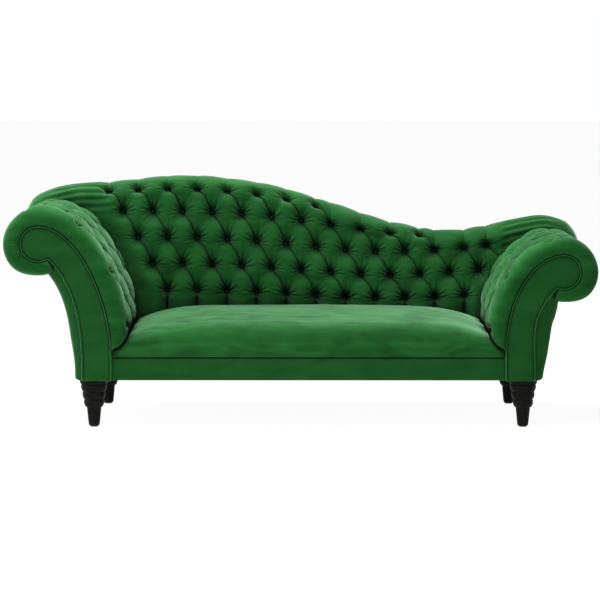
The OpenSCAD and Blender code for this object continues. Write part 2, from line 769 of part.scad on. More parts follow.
// The outside cover's line on the stem, d out from the board, up to just under the roll
stem_end = [0.84, 0.87];
function stem_side(a, share) = [for (t = concat([for (i = [0 : 6]) i / 8], [stem_end[a]]))
    let (p = bezier(outer_curve(a), t))
    p - max(t > 0.75 ? 3 * gap : gap, share * outside_thick(a, p[1])) * curve_normal(outer_curve(a), t)];
module outside_arm(a) {
    inner = stem_side(a, 0);
    outer = [for (k = [len(inner) - 1 : -1 : 0]) stem_side(a, 1)[k]];
    color(velvet)
        upright(facing_y, frame_rear_y - facing_y)
        arm_outline(a, concat(
            [[stem_w + gap, leg_h + 2]],
            inner,
            outer,
            [[stem_w + outside_t, leg_h + 2]]
        ));
}
module left_outside_arm() { outside_arm(0); }
module right_outside_arm() { outside_arm(1); }

// Back frame: uprights on the rear rail, a top rail that follows the outline, and webbing across them
post_w = 60;
post_x = [for (k = [0 : 3]) edge_x[0] + 14 + k * (seat_l - 28 - post_w) / 3];
top_rail_h = 92;
pad_on_rail = top_roll_r - 24;
top_rail_end = couch_w / 2 - roll_pad - 50;
function rail_upper(x) = crest(x) - pad_on_rail - gap;
function rail_lower(x) = max(rail_upper(x) - top_rail_h, back_low(x));
module back_uprights() {
    color(beech)
        for (x = post_x)
            upright(frame_front_y, back_frame_t)
            polygon([
                [x, leg_h],
                [x + post_w, leg_h],
                [x + post_w, min(rail_lower(x), rail_lower(x + post_w)) - gap],
                [x, min(rail_lower(x), rail_lower(x + post_w)) - gap]
            ]);
}
module back_top_rail() {
    xs = [for (x = back_columns) if (abs(x) <= top_rail_end) x];
    color(beech)
        upright(frame_front_y, back_frame_t)
        polygon(concat(
            [for (x = xs) [x, rail_upper(x)]],
            [for (k = [len(xs) - 1 : -1 : 0]) [xs[k], rail_lower(xs[k])]]
        ));
}
web_w = 50;
web_pitch = 88;
module back_webbing() {
    low = post_x[0];
    high = post_x[3] + post_w;
    color(hessian)
        for (z = [back_foot : web_pitch : dip_z - top_roll_r - web_w])
            translate([low, web_y, z]) cube([high - low, web_t, web_w]);
}

// Back pad: columns a quarter of a button pitch wide, rows half a row high, over the roll to the rear
back_rows = 14;
column_w = button_pitch / 4;
end_step = 60;
tufted = [floor((edge_x[0] - 60) / column_w), ceil((edge_x[1] + 10) / column_w)];
function end_columns(from, to) =
    let (n = max(1, round(abs(to - from) / end_step)))
    [for (k = [0 : n - 1]) from + (to - from) * k / n];
right_columns = end_columns(couch_w / 2 - 3, tufted[1] * column_w);
back_columns = concat(
    end_columns(-couch_w / 2 + 3, tufted[0] * column_w),
    [for (k = [tufted[0] : tufted[1]]) k * column_w],
    [for (k = [len(right_columns) - 1 : -1 : 0]) right_columns[k]]
);
function back_end_v(x) = crest(x) - top_roll_r + top_roll_r * roll_end * PI / 180;
function back_start(x) =
    abs(x) > couch_w / 2 - 20 ? back_low(x) : min(back_low(x), crest(x) - top_roll_r - 20);
function back_v(x, j) =
    let (low = back_start(x), last = back_end_v(x))
    max(low + j * 2, min(row_z(x, (j - 1) / 2 - 0.5), last - (back_rows - j) * 4));
function back_section(x) =
    let (zc = crest(x) - top_roll_r, low = back_start(x), last = back_point(x, back_end_v(x), 0))
    concat(
        [for (j = [0 : back_rows]) let (v = back_v(x, j)) back_point(x, v, back_depth(x, v))],
        [
            [x, frame_rear_y + gap, last[2]],
            [x, frame_rear_y + gap, zc + 24],
            [x, web_y - gap, zc + 24],
            [x, web_y - gap, low]
        ]
    );
module back_pad() {
    color(velvet) loft([for (x = back_columns) back_section(x)], back_rows + 1);
}
module outside_back() {
    side = function (a) concat(
        [[stem_w + outside_t, leg_h + 2]],
        stem_side(a, 1),
        [for (i = [0 : 8]) let (angle = blend(notch_angle[a] + 24, -12, i / 8))
            rim(a, angle, head_r[a] + roll_thick(a, angle) - 4)]
    );
    place = function (a) [for (p = side(a)) [edge_x[a] + out[a] * p[0], p[1]]];
    left = place(0);
    right = place(1);
    end_l = couch_w / 2 - 14;
    color(velvet)
        upright(frame_rear_y + gap, outside_back_t)
        polygon(concat(
            left,
            [for (x = back_columns) if (abs(x) < end_l) [x, crest(x) - top_roll_r - 24]],
            [for (k = [len(right) - 1 : -1 : 0]) right[k]]
        ));
}

// Buttons of the back and the arms, each square to the padding it sinks into
function slant(v) = [0, acos(v[2] / norm(v)), atan2(v[1], v[0])];
back_buttons_at = [
    for (row = [0 : row_count - 1], k = [-9 : 9])
        let (
            count = k + (row % 2 == 0 ? 0.5 : 0),
            x = (row > 1 && count > 6 ? count - 0.25 : count) * button_pitch,
            ok = x > row_first(row) - 15 && x < row_last(row) + 15
        )
        if (ok && row < top_line(x) + 0.1) [x, row_z(x, row)]
];
module back_buttons() {
    color(velvet_dark)
        for (b = back_buttons_at) {
            d = back_depth(b[0], b[1]);
            here = back_point(b[0], b[1], d);
            out_way = back_point(b[0], b[1], d - 10) - here;
            translate(here) rotate(slant(out_way)) button();
        }
}
module left_arm_buttons() { arm_buttons(0); }
module right_arm_buttons() { arm_buttons(1); }
module arm_buttons(a) {
    line = pad_line(a);
    lengths = arm_lengths(a);
    color(velvet_dark)
        for (row = [0 : 4], along = [-6 : 0])
            if ((row + along) % 2 == 0) {
                s = arm_anchor(a) + along * arm_pitch / 2;
                y = y0 + arm_first_row + row * arm_row_gap;
                here = line_at(line, lengths, s);
                base = here[0];
                away = here[1];
                d = arm_depth(a, s, y, here[3]);
                if (s > 90 && y < arm_rear(a, base, base + here[2] * away, 0) - 40)
                    translate(arm_point(a, base + (here[2] - d) * away, y))
                    rotate(slant([out[a] * away[0], 0, away[1]]))
                    button();
            }
}

front_rail();
rear_rail();
left_side_rail();
right_side_rail();
cross_rails();
corner_blocks();
block_screws();
seat_springs();
spring_clips();
spring_felt();
seat_pad();
front_border();
dust_cover();
front_left_leg();
front_right_leg();
rear_left_leg();
rear_right_leg();
leg_bolts();
tee_nuts();
leg_glides();
left_front_scroll_board();
left_rear_scroll_board();
left_arm_rail();
left_arm_lining();
left_arm_pad();
left_arm_buttons();
left_facing();
left_facing_piping();
left_outside_arm();
right_front_scroll_board();
right_rear_scroll_board();
right_arm_rail();
right_arm_lining();
right_arm_pad();
right_arm_buttons();
right_facing();
right_facing_piping();
right_outside_arm();
back_uprights();
back_top_rail();
back_webbing();
back_pad();
back_buttons();
outside_back();
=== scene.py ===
"""Dresses the fainting couch in buttoned velvet, with its piping and legs, in a plain studio."""

import json
import logging
import math
from dataclasses import dataclass
from enum import Enum
from functools import cached_property

import bmesh
import bpy
import numpy as np
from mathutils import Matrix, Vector

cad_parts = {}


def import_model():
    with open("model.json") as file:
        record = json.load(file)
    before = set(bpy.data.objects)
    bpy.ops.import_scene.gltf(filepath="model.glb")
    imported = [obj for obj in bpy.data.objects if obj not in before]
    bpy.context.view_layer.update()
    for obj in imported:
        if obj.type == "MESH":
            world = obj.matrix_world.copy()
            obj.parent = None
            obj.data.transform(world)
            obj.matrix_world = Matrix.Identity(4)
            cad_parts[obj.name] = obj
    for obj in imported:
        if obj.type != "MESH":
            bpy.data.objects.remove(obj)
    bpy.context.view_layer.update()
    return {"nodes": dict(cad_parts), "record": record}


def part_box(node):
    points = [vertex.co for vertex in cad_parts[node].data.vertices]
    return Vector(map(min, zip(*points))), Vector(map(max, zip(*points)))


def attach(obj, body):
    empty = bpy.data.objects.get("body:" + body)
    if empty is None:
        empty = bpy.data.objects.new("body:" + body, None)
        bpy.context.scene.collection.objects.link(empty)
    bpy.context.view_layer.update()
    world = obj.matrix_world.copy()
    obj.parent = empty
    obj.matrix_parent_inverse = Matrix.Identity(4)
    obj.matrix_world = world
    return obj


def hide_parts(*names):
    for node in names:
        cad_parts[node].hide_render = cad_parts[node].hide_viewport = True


LOG = logging.getLogger("fainting_couch")
MM = 0.001
Array = np.ndarray
Node = bpy.types.Node
Socket = bpy.types.NodeSocket
Tree = bpy.types.NodeTree
Material = bpy.types.Material
Piece = bpy.types.Object
Place = tuple[float, float, float]
Colour = tuple[float, float, float]


class Side(Enum):
    """The couch's two ends: the high arm on the left and the low arm on the right."""

    LEFT = "left"
    RIGHT = "right"

    @property
    def out(self) -> int:
        """Sign of the way out of the seat along X."""
        return -1 if self is Side.LEFT else 1


class Slot(Enum):
    """Material slots of the record."""

    VELVET = "green_velvet"
    EBONY = "ebonised_wood"
    BEECH = "beech"
    BOARD = "bent_board"
    STEEL = "zinc_steel"
    PLASTIC = "black_plastic"
    CLOTH = "black_cloth"
    FELT = "grey_felt"
    JUTE = "jute_webbing"


# Curves and fades


def smooth(t: Array | float) -> Array | float:
    """Smooth step from 0 to 1."""
    c = np.clip(t, 0.0, 1.0)
    return c * c * (3 - 2 * c)


def mix(a: Array | float, b: Array | float, t: Array | float) -> Array | float:
    """Value between a and b, held at both ends."""
    return a + (b - a) * np.clip(t, 0.0, 1.0)


def hill(x: Array, width: float, power: int = 2) -> Array:
    """Bell-shaped hill: 1 where x is 0, low beyond the width, and steeper with a higher power."""
    return np.exp(-((x / width) ** power))


def quarter(t: Array) -> Array:
    """Quarter circle that rises steeply from 0 at t = 0 and levels off at 1, at t = 1."""
    return np.sqrt(np.maximum(0, 1 - (1 - np.clip(t, 0, 1)) ** 2))


def turns(sides: int) -> Array:
    """Evenly spaced angles of one full turn, in radians."""
    return np.arange(sides) / sides * 2 * math.pi


def bezier(points: Array, t: Array) -> Array:
    """Points at t on a cubic curve.

    Args:
        points: Four control points.
        t: Places along the curve, from 0 to 1.

    Returns:
        One point for each place.
    """
    t = np.asarray(t, float)[..., None]
    s = 1 - t
    return s**3 * points[0] + 3 * s**2 * t * points[1] + 3 * s * t * t * points[2] + t**3 * points[3]


def bezier_normal(points: Array, t: Array) -> Array:
    """Unit normals of a cubic curve in its plane, on its left side.

    Args:
        points: Four control points.
        t: Places along the curve.

    Returns:
        One unit vector for each place.
    """
    d = bezier(points, t + 0.01) - bezier(points, t - 0.01)
    n = np.stack([-d[..., 1], d[..., 0]], -1)
    return n / np.linalg.norm(n, axis=-1, keepdims=True)


def run_lengths(points: Array) -> Array:
    """Distances along a line of points, from its first."""
    return np.concatenate([[0.0], np.cumsum(np.linalg.norm(np.diff(points, axis=0), axis=1))])


def ripple(seed: int, scale: float, *axes: Array) -> Array:
    """Slow, seeded waves over a surface, between about -1 and 1.

    Args:
        seed: Picks the waves.
        scale: Length of the middle wave in millimetres.
        axes: Coordinates of the surface in millimetres.

    Returns:
        The waves' sum at each place.
    """
    rng = np.random.default_rng(seed)
    total = np.zeros(np.broadcast(*axes).shape)
    for _ in range(9):
        turn = rng.normal(size=len(axes))
        turn *= 2 * math.pi / (scale * rng.uniform(0.6, 1.7)) / np.linalg.norm(turn)
        total = total + np.sin(sum(k * a for k, a in zip(turn, axes)) + rng.uniform(0, 6.3))
    return total / 4.5


# Sizes and shapes, in millimetres, as the part's source has them

# Share of an arm's inner curve over which its padding reaches full thickness
PAD_START = 0.22


@dataclass(frozen=True)
class Layout:
    """Sizes that several pieces share, in millimetres."""

    couch_w: float = 2200
    couch_d: float = 810
    seat_l: float = 1464
    seat_shift: float = 29
    leg_h: float = 175
    rail_h: float = 75
    border_inset: float = 25
    back_room: float = 212
    seat_rise: float = 154
    seat_crown: float = 60
    front_fall: float = 24
    nose_r: float = 74
    stem_w: float = 104
    stem_z: float = 290
    roll_pad: float = 68
    inside_pad: float = 80
    outside_t: float = 31
    board_t: float = 22
    facing_t: float = 10
    piping_d: float = 7
    top_roll_r: float = 76
    frame_t: float = 62
    outside_back_t: float = 10
    roll_overhang: float = 20
    webbing_t: float = 2
    seam_room: float = 11
    button_pitch: float = 117
    row_gap: float = 103
    first_row_z: float = 458
    row_count: int = 5
    arm_pitch: float = 210
    arm_row_gap: float = 115
    arm_first_row: float = 76
    button_d: float = 22
    tuft_h: float = 26
    button_sink: float = 12
    gap: float = 0.4
    leg_x: tuple[float, float] = (-769, 827)
    leg_y: tuple[float, float] = (-343, 307)

    @property
    def y0(self) -> float:
        """Front plane."""
        return -self.couch_d / 2

    @property
    def y1(self) -> float:
        """Rear of the top roll."""
        return self.couch_d / 2

    @property
    def roll_y(self) -> float:
        """Middle of the top roll."""
        return self.y1 - self.top_roll_r

    @property
    def seat_y0(self) -> float:
        """Front of the seat."""
        return self.y0 + self.border_inset

    @property
    def back_y(self) -> float:
        """Front of the back pad at the seat."""
        return self.y1 - self.back_room

    @property
    def frame_rear_y(self) -> float:
        """Rear of the back's frame."""
        return self.y1 - self.roll_overhang - self.outside_back_t

    @property
    def web_y(self) -> float:
        """Front of the back's webbing."""
        return self.frame_rear_y - self.frame_t - self.webbing_t

    @property
    def facing_y(self) -> float:
        """Front of the facings."""
        return self.y0 + self.piping_d + 2 * self.gap

    @property
    def seam_z(self) -> float:
        """Height of the seam under the seat."""
        return self.leg_h + self.rail_h + self.seam_room + self.gap

    @property
    def seat_top(self) -> float:
        """Crown of the seat."""
        return self.seam_z + self.seat_rise

    def edge(self, side: Side) -> float:
        """X of the seat's end at one side."""
        return self.seat_shift + side.out * self.seat_l / 2


@dataclass(frozen=True)
class Tufting:
    """Deep buttoning over a lattice whose buttons lie where both lattice coordinates are whole.

    Attributes:
        height: Rise of a pillow over its folds' ends.
        sink: Further depth of a pit at its button.
        slope: Height between rows over the distance between a row's buttons.
        pitch: Distance between a row's buttons.
        saddles: Share of the depth that the falling and the rising folds lose midway.
        bow: How far the folds arch upwards midway, in millimetres.
        pit: Radius of a pit.
        cone: Depth of the wide hollow round a pit.
        crease: Depth of the sharp line in a fold.
        gather: Depth of the gathers that fan out from a button.
        strings: Depth of the fine folds beside a falling fold.
        string_gap: Distance between those fine folds.
        gather_count: Number of gathers round a button.
        tight: Depth and distance of the tight folds along a row.
    """

    height: float
    sink: float
    slope: float
    pitch: float
    saddles: tuple[float, float] = (0.3, 0.62)
    bow: float = 7
    pit: float = 12
    cone: float = 15
    crease: float = 2
    gather: float = 3.2
    strings: float = 1.2
    string_gap: float = 7.4
    gather_count: int = 13
    tight: tuple[float, float] = (1.1, 9)

    def depth(self, p: Array, q: Array, stretch: Array | float = 0.0) -> Array:
        """How far the surface lies under the crowns.

        Args:
            p: Lattice coordinate across the folds that fall to the right.
            q: Lattice coordinate across the folds that rise to the right.
            stretch: Strength of the tight folds from button to button along a row.

        Returns:
            Depth in millimetres at each place.
        """
        step = 1 / math.hypot(1 / self.pitch, 1 / (2 * self.pitch * self.slope))
        rp, rq = p - np.round(p), q - np.round(q)
        dx, dz = (rp + rq) / 2 * self.pitch, (rp - rq) * self.pitch * self.slope
        r, angle = np.hypot(dx, dz) + 1e-6, np.arctan2(dz, dx)
        bow = self.bow / step
        p, q = p - bow * np.sin(np.pi * q) ** 2, q + bow * np.sin(np.pi * p) ** 2
        sp, sq = np.abs(np.sin(np.pi * p)), np.abs(np.sin(np.pi * q))
        soft_q = np.sqrt(sq**2 + 0.03) / math.sqrt(1.03)
        dome = (sp * soft_q) ** 0.5
        saddle = self.saddles[0] * sq**2 * (1 - sp**2) + self.saddles[1] * sp**2 * (1 - sq**2)
        across_p, across_q = (p - np.round(p)) * step, (q - np.round(q)) * step
        clear = smooth((r - 6) / 16)
        u = across_p / 4
        tucked = 2.33 * u * hill(u, 1) + 0.5 * hill(across_p, 2.2)
        falling = tucked * (0.6 + 0.4 * (1 - sq))
        rising = 0.25 * hill(across_q, 3) * (1 - sp)
        fine = np.cos(2 * math.pi * across_p / self.string_gap)
        lines = fine * hill(across_p, 9) * (1 - 0.7 * sq)
        fan = np.cos(self.gather_count * angle + 1.3 * np.sin(3 * angle + p * 2 + q))
        reach = 30 + 9 * np.sin(angle) + 8 * np.cos(5 * angle + 2 * p)
        spread = np.exp(-((r / reach) ** 2) / 1.5)
        gathers = fan * smooth((r - 7) / 8) * spread * (0.75 + 0.25 * np.sin(angle))
        beside_row = np.exp(-((dz / 14) ** 2) - (dx / 44) ** 4)
        tight = np.cos(dz * 2 * math.pi / self.tight[1] + 0.6) * beside_row * smooth((r - 14) / 14)
        return (
            self.height * (1 - dome) * (1 - saddle)
            + self.sink * hill(r, self.pit, 3)
            + self.cone * hill(r, 2 * self.pit)
            + self.crease * (falling + rising) * clear
            + self.gather * gathers
            + self.strings * lines * clear
            + self.tight[0] * stretch * tight
        )


@dataclass(frozen=True)
class ArmShape:
    """Outline and padding of one scroll arm. Outline points are distance out of the seat and height."""

    layout: Layout
    side: Side
    head_r: float
    head_z: float
    inner_rise: float
    inner_sweep: float
    outer_rise: float
    outer_sweep: float
    notch_angle: float
    button_shift: float
    top_swell: float
    roll_hollow: float
    outside_swell: float
    stem_end: float
    belly: float
    outer_z: float = 220
    inner_steps: int = 45
    head_steps: int = 30

    @property
    def out(self) -> int:
        """Sign of the way out of the seat."""
        return self.side.out

    @property
    def edge_x(self) -> float:
        """X of the seat's end beside this arm."""
        return self.layout.edge(self.side)

    @property
    def head_u(self) -> float:
        """Distance of the scroll head's middle out of the seat."""
        return self.layout.couch_w / 2 - self.head_r - self.layout.roll_pad - self.out * self.edge_x

    def roll_thick(self, angle: Array | float) -> Array:
        """Padding round the roll at angles above its middle, in degrees."""
        top, hollow = smooth((angle - 50) / 40), smooth((-angle - 35) / 55)
        return self.layout.roll_pad + self.top_swell * top - self.roll_hollow * hollow

    def outside_thick(self, z: Array | float) -> Array:
        """Thickness of the cover outside the stem by height."""
        return self.layout.outside_t + self.outside_swell * smooth((z - 200) / 170)

    def rim(self, angle: Array | float, r: Array | float) -> Array:
        """Points round the scroll head at angles in degrees."""
        a = np.radians(angle)
        return np.stack([self.head_u + r * np.cos(a), self.head_z + r * np.sin(a)], -1)

    @cached_property
    def inner_curve(self) -> Array:
        """Control points from the seat up to the top of the head."""
        top = self.head_z + self.head_r
        z = self.layout.stem_z
        return np.array(
            [
                [0, z],
                [0, z + self.inner_rise * (top - z)],
                [self.head_u * (1 - self.inner_sweep), top],
                [self.head_u, top],
            ]
        )

    @cached_property
    def outer_curve(self) -> Array:
        """Control points from the stem's foot up to the notch under the head."""
        notch = self.rim(self.notch_angle, self.head_r)
        rise = notch[1] - self.outer_z
        w = self.layout.stem_w
        lean = self.outer_sweep * rise * math.sqrt(0.5)
        foot = [w, self.outer_z]
        return np.array([foot, [w, self.outer_z + self.outer_rise * rise], notch - [lean, lean], notch])

    def outline(self, grow: float, foot: float) -> Array:
        """Outline of the arm's front.

        Args:
            grow: How far it is grown, or shrunk where negative.
            foot: Height of its lower end.

        Returns:
            Points from the inner foot, over the head, to the outer foot.
        """
        t = np.linspace(0, 1, 64)
        s = np.linspace(1, 0, 48)
        angle = np.linspace(90, self.notch_angle, 72)[1:]
        inner = bezier(self.inner_curve, t) + grow * bezier_normal(self.inner_curve, t)
        outer = bezier(self.outer_curve, s) - grow * bezier_normal(self.outer_curve, s)
        w = self.layout.stem_w
        stem = np.stack([np.full(9, -grow), np.linspace(foot, self.layout.stem_z, 10)[:-1]], -1)
        low = np.stack([np.full(5, w + grow), np.linspace(self.outer_z, foot, 6)[1:]], -1)
        return np.concatenate([stem, inner, self.rim(angle, self.head_r + grow), outer, low])

    @cached_property
    def pad_line(self) -> tuple[Array, Array, Array, Array, Array]:
        """Base points, ways out, thicknesses, places and lengths along the padding, closely spaced."""
        lay = self.layout
        t = np.linspace(0, 1, self.inner_steps)
        round_head = np.arange(1, self.head_steps + 1) / self.head_steps
        swell = mix(lay.inside_pad, self.roll_thick(90), smooth(t))
        rise = quarter(t / PAD_START)
        angle = mix(90, self.notch_angle + 4, round_head)
        a = np.radians(angle)
        spokes = np.stack([np.cos(a), np.sin(a)], -1)
        base = np.concatenate([bezier(self.inner_curve, t), self.rim(angle, self.head_r)])
        away = np.concatenate([bezier_normal(self.inner_curve, t), spokes])
        thick = np.concatenate([np.maximum(6, swell * rise), self.roll_thick(angle)])
        place = np.concatenate([t, 1 + round_head])
        return base, away, thick, place, run_lengths(base + thick[:, None] * away)

    @property
    def anchor(self) -> float:
        """Length along the padding at which the buttons are counted from."""
        return self.pad_line[4][self.inner_steps - 1] + self.button_shift

    def at(self, s: Array) -> tuple[Array, Array, Array, Array]:
        """Base, way out, thickness and place at lengths along the padding."""
        base, away, thick, place, length = self.pad_line

        def pick(values: Array) -> Array:
            """Values of one line at s."""
            return np.interp(s, length, values)

        here = np.stack([pick(base[:, 0]), pick(base[:, 1])], -1)
        way = np.stack([pick(away[:, 0]), pick(away[:, 1])], -1)
        return here, way / np.linalg.norm(way, axis=-1, keepdims=True), pick(thick), pick(place)

    def world(self, uz: Array, y: Array | float) -> Array:
        """World points of outline points at depth y."""
        y = np.broadcast_to(np.asarray(y, float), uz.shape[:-1])
        return np.stack([self.edge_x + self.out * uz[..., 0], y, uz[..., 1]], -1)

    def lattice(self, s: Array, y: Array) -> tuple[Array, Array]:
        """Lattice coordinates of the arm's buttons."""
        along = (s - self.anchor) / (self.layout.arm_pitch / 2)
        back = (y - self.layout.y0 - self.layout.arm_first_row) / self.layout.arm_row_gap
        return (along + back) / 2, (along - back) / 2


@dataclass(frozen=True)
class BackShape:
    """The back pad's outline, face and roll.

    Attributes:
        layout: Shared sizes.
        left: The left arm.
        right: The right arm.
        hump_z: Height of the outline's hump.
        dip_z: Height of the outline's dip.
        tuck: How far the pad reaches down behind the seat.
        fall_x: Middle of the stretch over which the rows follow the outline down.
        fall_w: Width of that stretch.
        row_drop: How far the lowest row comes down there.
        row_squeeze: How much closer the rows lie there.
        roll_turn: How far the cloth goes round the roll, in degrees.
    """

    layout: Layout
    left: ArmShape
    right: ArmShape
    hump_z: float = 908
    dip_z: float = 692
    tuck: float = 62
    fall_x: float = 350
    fall_w: float = 450
    row_drop: float = 35
    row_squeeze: float = 12
    roll_turn: float = 195

    @cached_property
    def crest_line(self) -> Array:
        """Points on the back's outline."""
        w, lz, rz = self.layout.couch_w / 2, self.left.head_z, self.right.head_z
        return np.array(
            [
                [-w, lz + 72],
                [-w + 45, lz + 140],
                [-w + 150, lz + 180],
                [-w + 380, self.hump_z - 22],
                [-460, self.hump_z],
                [-150, self.hump_z - 32],
                [110, self.hump_z - 104],
                [350, self.dip_z + 35],
                [590, self.dip_z],
                [w - 320, self.dip_z + 28],
                [w - 160, rz + 168],
                [w - 55, rz + 148],
                [w, rz + 88],
            ]
        )

    def crest(self, x: Array | float) -> Array:
        """Height of the outline over x."""
        px, pz = self.crest_line.T
        n = len(px)
        before, after = np.maximum(np.arange(n) - 1, 0), np.minimum(np.arange(n) + 1, n - 1)
        slope = (pz[after] - pz[before]) / (px[after] - px[before])
        k = np.clip(np.searchsorted(px, x, side="right") - 1, 0, n - 2)
        w = px[k + 1] - px[k]
        t = (x - px[k]) / w
        return (
            (2 * t**3 - 3 * t * t + 1) * pz[k]
            + (t**3 - 2 * t * t + t) * w * slope[k]
            + (3 * t * t - 2 * t**3) * pz[k + 1]
            + (t**3 - t * t) * w * slope[k + 1]
        )

    @property
    def foot(self) -> float:
        """Lower edge of the pad behind the seat."""
        return self.layout.seat_top - self.tuck

    def board_top(self, arm: ArmShape, u: float) -> float:
        """Top of an arm's board at a distance out of the seat."""
        if u >= arm.head_u + arm.head_r + 30:
            return arm.head_z - 4
        if u >= arm.head_u + arm.head_r - 6:
            return arm.head_z + 34
        if u >= arm.head_u:
            return arm.head_z + math.sqrt(arm.head_r**2 - (u - arm.head_u) ** 2)
        line = bezier(arm.inner_curve, np.arange(61) / 60)
        return float(line[np.nonzero(line[:, 0] <= u + 8)[0].max(initial=0), 1])

    def low_at(self, x: float) -> float:
        """Lower edge of the pad at one place."""
        for arm in (self.left, self.right):
            u = arm.out * (x - arm.edge_x)
            if u > 0:
                return max(self.foot, self.board_top(arm, u) + 9)
        return self.foot

    @cached_property
    def columns(self) -> Array:
        """Places of the solid's columns along X."""
        w, step = self.layout.couch_w / 2, self.layout.button_pitch / 4
        first = math.floor((self.left.edge_x - 60) / step)
        last = math.ceil((self.right.edge_x + 10) / step)

        def ends(start: float, stop: float) -> Array:
            """Evenly spaced columns of one end, without the last."""
            n = max(1, round(abs(stop - start) / 60))
            return start + (stop - start) * np.arange(n) / n

        middle = np.arange(first, last + 1) * step
        return np.concatenate([ends(3 - w, first * step), middle, ends(w - 3, last * step)[::-1]])

    def start(self, x: Array) -> Array:
        """Lower edge of the pad, straight between the solid's columns."""
        cols = self.columns
        low = np.array([self.low_at(c) for c in cols])
        inside = np.abs(cols) <= self.layout.couch_w / 2 - 20
        low = np.where(inside, np.minimum(low, self.crest(cols) - self.layout.top_roll_r - 20), low)
        return np.interp(x, cols, low)

    def end(self, x: Array) -> Array:
        """Upper end of the pad, counted on over the roll."""
        r = self.layout.top_roll_r
        return self.crest(x) - r + r * math.radians(self.roll_turn)

    def fall(self, x: Array | float) -> Array:
        """How far the rows follow the outline's fall."""
        return hill(x - self.fall_x, self.fall_w)

    def row_z(self, x: Array, row: Array) -> Array:
        """Height of a row of buttons."""
        lay, fall = self.layout, self.fall(x)
        return lay.first_row_z - self.row_drop * fall + row * (lay.row_gap - self.row_squeeze * fall)

    def row_at(self, x: Array, z: Array) -> Array:
        """Row, as a number with a fraction, at a height."""
        lay, fall = self.layout, self.fall(x)
        return (z - lay.first_row_z + self.row_drop * fall) / (lay.row_gap - self.row_squeeze * fall)

    def pitches(self, x: Array, row: Array) -> Array:
        """Pitches from the middle to x; the upper rows' last buttons lie closer to their neighbours."""
        a = x / self.layout.button_pitch
        return a + 0.25 * smooth((a - 5.5) / 0.75) * smooth(row - 1)

    def top_line(self, x: Array) -> Array:
        """Row at which the buttons end, falling by one along a fold at each step of the outline."""
        a = x / self.layout.button_pitch
        return self.layout.row_count - 1 - mix(0, 1, 2 * a - 1) - mix(0, 1, 2 * a - 8)

    def face_y(self, x: Array, z: Array) -> Array:
        """Y of the smooth face under the roll, at x and height z."""
        lay = self.layout
        rise = self.crest(x) - lay.top_roll_r - self.foot
        share = (z - self.foot) / np.maximum(60, rise)
        return lay.back_y + mix(-4, lay.roll_y - lay.top_roll_r - lay.back_y, share)

    def point(self, x: Array, v: Array, depth: Array) -> Array:
        """World points on the pad.

        Args:
            x: Place along the couch.
            v: Height, counted on over the roll.
            depth: How far under the smooth surface.

        Returns:
            The points.
        """
        lay, r = self.layout, self.layout.top_roll_r
        zc = self.crest(x) - r
        angle = np.maximum(v - zc, 0) / r
        face = self.face_y(x, v) + depth
        rolled = lay.roll_y - (r - depth) * np.cos(angle)
        y = np.where(v < zc, face, rolled)
        z = np.where(v < zc, v, zc + (r - depth) * np.sin(angle))
        return np.stack([np.broadcast_to(x, y.shape), y, z], -1)


# Mesh tools


class Skin:
    """Collects the patches of one closed piece and makes its object. Points are in millimetres."""

    def __init__(self) -> None:
        """Starts with nothing."""
        self.points: list[Array] = []
        self.faces: list[tuple[int, ...]] = []
        self.count = 0

    def add(self, points: Array) -> int:
        """Adds points and returns the number of the first."""
        first = self.count
        flat = np.asarray(points, float).reshape(-1, 3)
        self.points.append(flat)
        self.count += len(flat)
        return first

    def grid(self, points: Array, wrap: bool = False) -> None:
        """Adds a patch.

        Args:
            points: Rows of points.
            wrap: Whether each row's last point joins its first.
        """
        rows, cols = points.shape[:2]
        first = self.add(points)
        k = np.arange(rows * cols).reshape(rows, cols) + first
        after = np.roll(k, -1, axis=1)
        span = cols if wrap else cols - 1
        quads = np.stack([k[:-1, :span], after[:-1, :span], after[1:, :span], k[1:, :span]], -1)
        self.faces.extend(map(tuple, quads.reshape(-1, 4).tolist()))

    def cap(self, points: Array) -> None:
        """Adds one many-sided face through the points."""
        first = self.add(points)
        self.faces.append(tuple(range(first, first + len(points))))

    def tube(self, rings: Array) -> None:
        """Adds closed rings joined in a row, with both ends capped."""
        self.grid(rings, wrap=True)
        self.cap(rings[0])
        self.cap(rings[-1])

    def piece(self, name: str, material: Material, sharp: float = 55) -> Piece:
        """Makes the piece's object.

        Args:
            name: The piece's name.
            material: What it is dressed in.
            sharp: Angle in degrees from which an edge is sharp.

        Returns:
            The object, in metres.
        """
        mesh = bpy.data.meshes.new(name)
        mesh.from_pydata((np.concatenate(self.points) * MM).tolist(), [], self.faces)
        work = bmesh.new()
        work.from_mesh(mesh)
        bmesh.ops.remove_doubles(work, verts=work.verts, dist=2e-5)
        bmesh.ops.dissolve_degenerate(work, edges=work.edges, dist=1e-6)
        bmesh.ops.triangulate(work, faces=[f for f in work.faces if len(f.verts) > 4])
        bmesh.ops.recalc_face_normals(work, faces=work.faces)
        work.to_mesh(mesh)
        work.free()
        mesh.shade_smooth()
        mesh.set_sharp_from_angle(angle=math.radians(sharp))
        mesh.materials.append(material)
        made = bpy.data.objects.new(name, mesh)
        bpy.context.scene.collection.objects.link(made)
        return made


def inset_line(line: Array, by: float) -> Array:
    """A closed flat outline moved inwards.

    Args:
        line: Points of the outline in order.
        by: Distance.

    Returns:
        The moved points.
    """
    area = np.sum(line[:, 0] * np.roll(line[:, 1], -1) - np.roll(line[:, 0], -1) * line[:, 1])
    d = np.roll(line, -1, axis=0) - line
    n = np.stack([-d[:, 1], d[:, 0]], -1) * np.sign(area)
    n /= np.linalg.norm(n, axis=1, keepdims=True) + 1e-9
    both = n + np.roll(n, 1, axis=0)
    scale = np.maximum(0.5, np.sum(both * both, axis=1) / 2)
    return line + by * both / scale[:, None]


